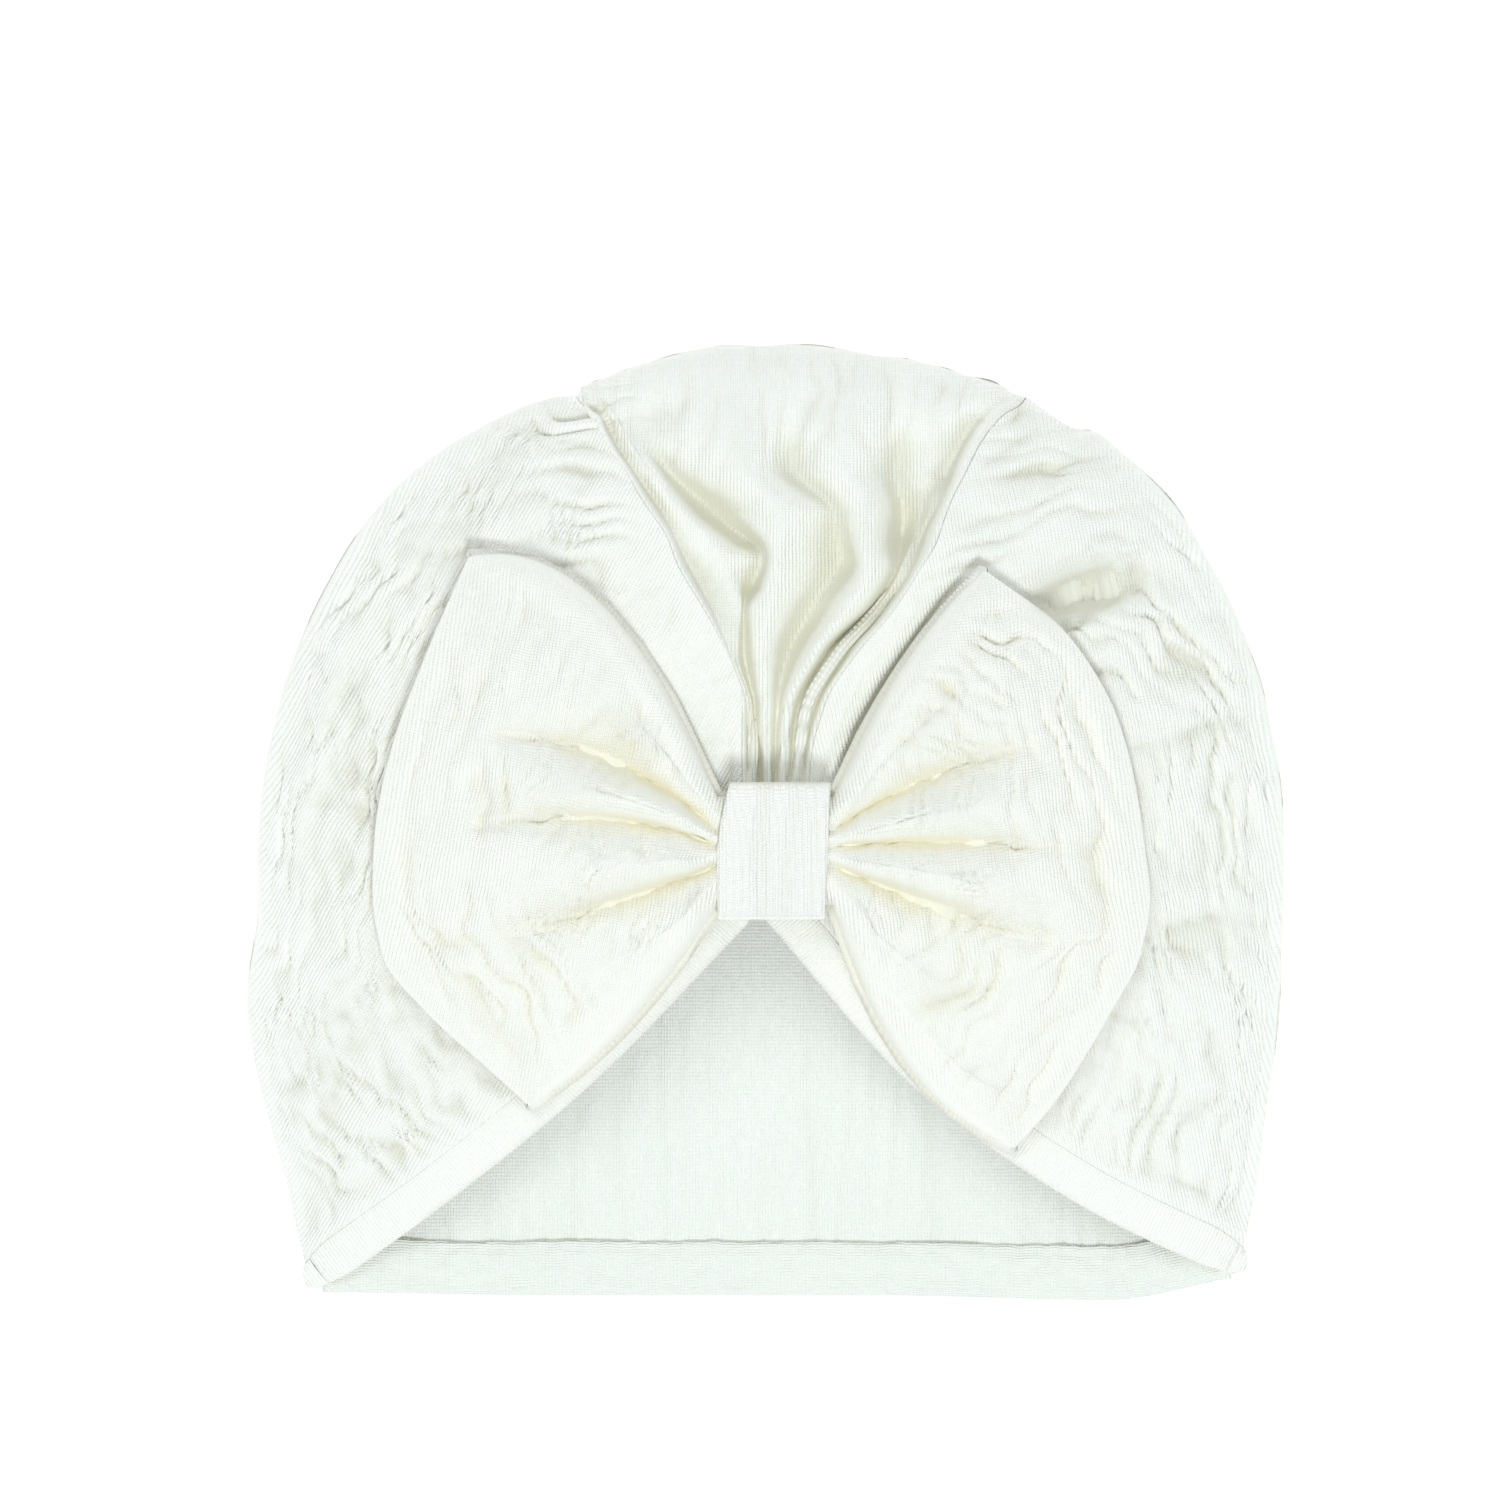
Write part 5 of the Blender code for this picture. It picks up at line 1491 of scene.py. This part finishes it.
def make_knot_band():
    """Closed ring of cloth round the bow's waist, with fine ribs along its length and a smooth underside."""
    half_up = BAND_HEIGHT / 2
    low = waist_seat() - GAP - CLOTH
    high = waist_seat() + WAIST_THICKNESS + GAP + CLOTH
    middle = (low + high) / 2
    shares = np.linspace(-1.0, 1.0, BAND_COLUMNS)
    rim = np.abs(shares) ** BAND_RIM_SHARPNESS
    rib = 0.5 + 0.5 * np.cos(2 * math.pi * shares * BAND_WIDTH / 2 / BAND_RIB)
    rib_depth, wave_depth, rim_depth, fold_depth = BAND_DEPTHS
    change_across, change_round = BAND_WAVE_CHANGES
    columns = []
    shades = []
    for turn in np.arange(BAND_TURNS) * 2 * math.pi / BAND_TURNS:
        c = math.cos(turn)
        s = math.sin(turn)
        round_y = math.copysign(abs(c) ** (2 / BAND_SQUARENESS), c)
        round_z = math.copysign(abs(s) ** (2 / BAND_SQUARENESS), s)
        up = KNOT[1] + half_up * round_y
        height_share = (up - KNOT[1]) / half_up
        half_wide = smooth_through(BAND_PLACES, BAND_HALF_WIDTHS, height_share)
        across = shares * half_wide + KNOT[0] + smooth_through(BAND_PLACES, BAND_LEANS, height_share)
        wave = noise(shares * change_across, shares * 0 + change_round * math.cos(turn), BAND_SEED)
        folds = sum(strength * np.exp(-((shares - place - lean * height_share) / width) ** 2)
                    for strength, place, lean, width in BAND_FOLDS)
        sag = rib_depth * rib + wave_depth * (0.5 + 0.5 * wave) + rim_depth * rim + fold_depth * folds
        if round_z < -0.5:
            sag = sag * 0.0
        height = middle + (high - low) / 2 * round_z - sag * MM * max(0.0, round_z)
        up_row = up - sag * MM * round_y * (1 - abs(round_z))
        columns.append(np.column_stack([across, up_row + 0 * across, height]))
        # Painted shade in the soft folds and along the band's top.
        shades.append(BAND_SHADE * folds + BAND_TOP_SHADE * smooth_step(height_share, *BAND_TOP_SPAN))
    grid = np.array(columns)
    fold = np.array(shades)
    grain = np.stack([grid[:, :, 0], grid[:, :, 1] + grid[:, :, 2], 0 * grid[:, :, 2]], axis=2)
    plain = np.zeros(grid.shape[:2])
    return cloth_solid("knot_band_cloth", grid, plain, grain, fold, closed=True)


# Materials

def add_node(tree, kind, links=(), **values):
    """Adds a node, sets its properties and input values, and links sockets into its inputs."""
    node = tree.nodes.new(kind)
    for key, value in values.items():
        if hasattr(node, key):
            setattr(node, key, value)
        else:
            node.inputs[key.replace("_", " ")].default_value = value
    for name, socket in links:
        tree.links.new(socket, node.inputs[name])
    return node


WALE_PITCH = 0.66 * MM
COURSE_PITCH = 0.52 * MM
WAVE_TURNS = 20 / (2 * math.pi)

# Distortion, detail and detail scale of the wales' and the courses' waves.
WALE_WAVES = (1.6, 2.0, 0.6)
COURSE_WAVES = (2.2, 2.0, 0.6)

# Relief of the knit: distance, and strength on steep and on level cloth.
BUMP_DISTANCE = 0.12 * MM
BUMP_STRENGTHS = (0.15, 0.80)

# Parts of the noises in the relief, of the waves and the noises in the colour, and of the noises in the
# roughness, with the roughness they are added to.
RELIEF_PARTS = {"fuzz": 0.9, "crepe": 3.2}
TONE_PARTS = {"cloud": 0.65, "wales": 0.12, "courses": 0.08, "fuzz": 0.15}
ROUGH_PARTS = {"fuzz": 0.12, "cloud": 0.08}
ROUGHNESS = 0.80

# Scale, detail and roughness of the noises.
NOISES = {"fuzz": (1500.0, 3.0, 0.6), "crepe": (330.0, 3.0, 0.55), "cloud": (45.0, 3.0, 0.6)}

# Where the tone reaches the shade and the full colour.
TONE_SPAN = (0.25, 0.65)

# Values of the cloth's surface that are the same all over; the emission colour is that of the painted glow.
CLOTH_SURFACE = (("Specular IOR Level", 0.25), ("Sheen Weight", 0.12), ("Sheen Roughness", 0.5),
                 ("Emission Color", (0.94, 1.0, 0.97, 1.0)))

# Numbers of the colour sockets of the mix node.
MIX_COLOUR_A = 6
MIX_COLOUR_B = 7
MIX_COLOUR_OUT = 2


def knit_material(name, colour, shade, crease, wale_strength, course_strength, glow):
    """Jersey: fine wales and courses, a fuzzy surface and a colour that changes a little over the cloth.

    crease is the colour of the painted shade deep in the folds, and glow the strength of a painted glow, an
    emission that stands for light coming through the thin cloth.
    """
    material = bpy.data.materials.new(name)
    material.use_nodes = True
    tree = material.node_tree
    shader = tree.nodes["Principled BSDF"]
    grain = add_node(tree, "ShaderNodeAttribute", attribute_name="grain").outputs["Vector"]
    place = add_node(tree, "ShaderNodeTexCoord").outputs["Object"]
    textures = {}
    for texture, axis, pitch, (distortion, detail, detail_scale) in (
            ("wales", "X", WALE_PITCH, WALE_WAVES), ("courses", "Y", COURSE_PITCH, COURSE_WAVES)):
        textures[texture] = add_node(tree, "ShaderNodeTexWave", [("Vector", grain)], bands_direction=axis,
                                     Scale=1 / (pitch * WAVE_TURNS), Distortion=distortion, Detail=detail,
                                     Detail_Scale=detail_scale)
    for texture, (scale, detail, roughness) in NOISES.items():
        textures[texture] = add_node(tree, "ShaderNodeTexNoise", [("Vector", place)],
                                     Scale=scale, Detail=detail, Roughness=roughness)

    def scaled_sum(parts):
        total = None
        for texture, factor in parts.items():
            socket = textures[texture].outputs["Fac"]
            term = add_node(tree, "ShaderNodeMath", [(0, socket)], operation="MULTIPLY")
            term.inputs[1].default_value = factor
            if total is None:
                total = term.outputs[0]
            else:
                total = add_node(tree, "ShaderNodeMath", [(0, total), (1, term.outputs[0])]).outputs[0]
        return total

    height = scaled_sum({"wales": wale_strength, "courses": course_strength, **RELIEF_PARTS})
    level = add_node(tree, "ShaderNodeAttribute", attribute_name="level").outputs["Fac"]
    strength = add_node(tree, "ShaderNodeMath", [(0, level)], operation="MULTIPLY_ADD")
    strength.inputs[1].default_value = BUMP_STRENGTHS[1] - BUMP_STRENGTHS[0]
    strength.inputs[2].default_value = BUMP_STRENGTHS[0]
    bump = add_node(tree, "ShaderNodeBump", [("Height", height), ("Strength", strength.outputs[0])],
                    Distance=BUMP_DISTANCE)
    ramp = add_node(tree, "ShaderNodeValToRGB", [("Fac", scaled_sum(TONE_PARTS))])
    for element, position, tone in zip(ramp.color_ramp.elements, TONE_SPAN, (shade, colour)):
        element.position = position
        element.color = (*tone, 1.0)
    rough = add_node(tree, "ShaderNodeMath", [(0, scaled_sum(ROUGH_PARTS))])
    rough.inputs[1].default_value = ROUGHNESS
    # Painted shade: the fold attribute mixes the crease colour into the base colour.
    fold = add_node(tree, "ShaderNodeAttribute", attribute_name="fold").outputs["Fac"]
    tint = add_node(tree, "ShaderNodeMix", data_type="RGBA")
    tree.links.new(fold, tint.inputs["Factor"])
    tree.links.new(ramp.outputs["Color"], tint.inputs[MIX_COLOUR_A])
    tint.inputs[MIX_COLOUR_B].default_value = (*crease, 1.0)
    tree.links.new(tint.outputs[MIX_COLOUR_OUT], shader.inputs["Base Color"])
    tree.links.new(rough.outputs[0], shader.inputs["Roughness"])
    tree.links.new(bump.outputs["Normal"], shader.inputs["Normal"])
    for socket, value in CLOTH_SURFACE:
        shader.inputs[socket].default_value = value
    # Painted glow: a weak emission that stands for light coming through the thin cloth.
    shader.inputs["Emission Strength"].default_value = glow
    return material


# Stage

CAMERA_HEIGHT = 2.5
CAMERA_FOCUS_HEIGHT = 0.015
CAMERA_END = 20.0
SENSOR = 36.0
FLOOR_SIZE = 8.0
FLOOR_DEPTH = 0.02 * MM

# Lamps: name, place in metres, diameter in metres, power in watts.
LAMPS = (
    ("key", (0.06, -0.48, 1.20), 0.30, 6.8),
    ("fill", (-0.20, 0.62, 1.15), 0.70, 3.4),
)
LAMP_COLOUR = (0.945, 1.0, 1.03)
SKY_STRENGTH = 0.61
SKY_COLOUR = (0.940, 1.0, 1.035)
FLOOR_SURFACE = (("Base Color", (0.93, 0.93, 0.93, 1.0)), ("Roughness", 0.95), ("Specular IOR Level", 0.1),
                 ("Emission Color", (1.0, 1.0, 1.0, 1.0)), ("Emission Strength", 0.36))
BOUNCES = 12
SHADE_OFFSET = 0.25


def make_floor():
    """Plain white paper just under the hat."""
    half = FLOOR_SIZE / 2
    data = bpy.data.meshes.new("floor")
    corners = [(-half, -half, 0.0), (half, -half, 0.0), (half, half, 0.0), (-half, half, 0.0)]
    data.from_pydata(corners, [], [(0, 1, 2, 3)])
    floor = bpy.data.objects.new("floor", data)
    bpy.context.scene.collection.objects.link(floor)
    floor.location.z = -FLOOR_DEPTH
    material = bpy.data.materials.new("floor_paper")
    material.use_nodes = True
    tree = material.node_tree
    shader = tree.nodes["Principled BSDF"]
    for socket, value in FLOOR_SURFACE:
        shader.inputs[socket].default_value = value
    floor.data.materials.append(material)


def make_lights():
    """Even pale sky with a key lamp from the opening's side and a softer fill."""
    scene = bpy.context.scene
    world = bpy.data.worlds.new("studio")
    scene.world = world
    world.use_nodes = True
    background = world.node_tree.nodes["Background"]
    background.inputs["Color"].default_value = (*SKY_COLOUR, 1.0)
    background.inputs["Strength"].default_value = SKY_STRENGTH
    for name, place, size, power in LAMPS:
        light = bpy.data.lights.new(name, "AREA")
        light.shape = "DISK"
        light.size = size
        light.energy = power
        light.color = LAMP_COLOUR
        lamp = bpy.data.objects.new(name, light)
        scene.collection.objects.link(lamp)
        lamp.location = place
        lamp.rotation_euler = (-lamp.location).to_track_quat("-Z", "Y").to_euler()


def make_camera():
    """Camera straight above, framed as the photograph is."""
    scene = bpy.context.scene
    data = bpy.data.cameras.new("camera")
    data.sensor_width = SENSOR
    data.lens = SENSOR * (CAMERA_HEIGHT - CAMERA_FOCUS_HEIGHT) / (PHOTO_SIDE * PIXEL)
    data.clip_end = CAMERA_END
    camera = bpy.data.objects.new("camera", data)
    scene.collection.objects.link(camera)
    x, y = from_photo(PHOTO_SIDE / 2, PHOTO_SIDE / 2)
    camera.location = (x, y, CAMERA_HEIGHT)
    scene.camera = camera


def set_view():
    """Plain colours, and enough bounces for light to reach the bottom of white folds."""
    cycles = bpy.context.scene.cycles
    cycles.max_bounces = BOUNCES
    cycles.diffuse_bounces = BOUNCES
    view = bpy.context.scene.view_settings
    view.view_transform = "Standard"
    view.look = "None"
    view.exposure = 0.0
    view.gamma = 1.0


# Cloth materials: name, colour, darker tone of its random variation, colour of the painted shade in the
# folds, strength of the wales and of the courses, strength of the painted glow.
CLOTHS = {
    "crown": ((0.960, 0.950, 0.885), (0.935, 0.928, 0.860), (0.775, 0.760, 0.655), 1.6, 0.6, 0.0),
    "back": ((0.940, 0.945, 0.890), (0.915, 0.922, 0.870), (0.80, 0.81, 0.73), 0.8, 1.3, 0.035),
    "bow": ((0.957, 0.943, 0.872), (0.932, 0.921, 0.848), (0.845, 0.81, 0.67), 1.5, 0.8, 0.0),
    "hem": ((0.960, 0.948, 0.880), (0.935, 0.925, 0.855), (0.82, 0.80, 0.70), 1.5, 0.5, 0.0),
    "band": ((0.958, 0.938, 0.885), (0.934, 0.916, 0.855), (0.85, 0.83, 0.76), 1.3, 1.3, 0.02),
}

# Pieces: maker, node that it stands for, cloth.
PIECES = (
    (make_crown_front, "crown", "crown"),
    (make_crown_back, "crown", "back"),
    (make_front_hem, "front_hem", "hem"),
    (make_back_hem, "back_hem", "back"),
    (make_bow, "bow", "bow"),
    (make_knot_band, "knot_band", "band"),
)


def main():
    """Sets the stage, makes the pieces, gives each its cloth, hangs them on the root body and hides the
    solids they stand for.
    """
    set_view()
    make_camera()
    make_lights()
    make_floor()
    materials = {name: knit_material(name + "_jersey", *row) for name, row in CLOTHS.items()}
    for make, node, cloth in PIECES:
        piece = make()
        piece.data.materials.append(materials[cloth])
        piece.cycles.shadow_terminator_offset = SHADE_OFFSET
        piece.cycles.shadow_terminator_geometry_offset = SHADE_OFFSET
        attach(piece, "root")
        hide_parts(node)


main()
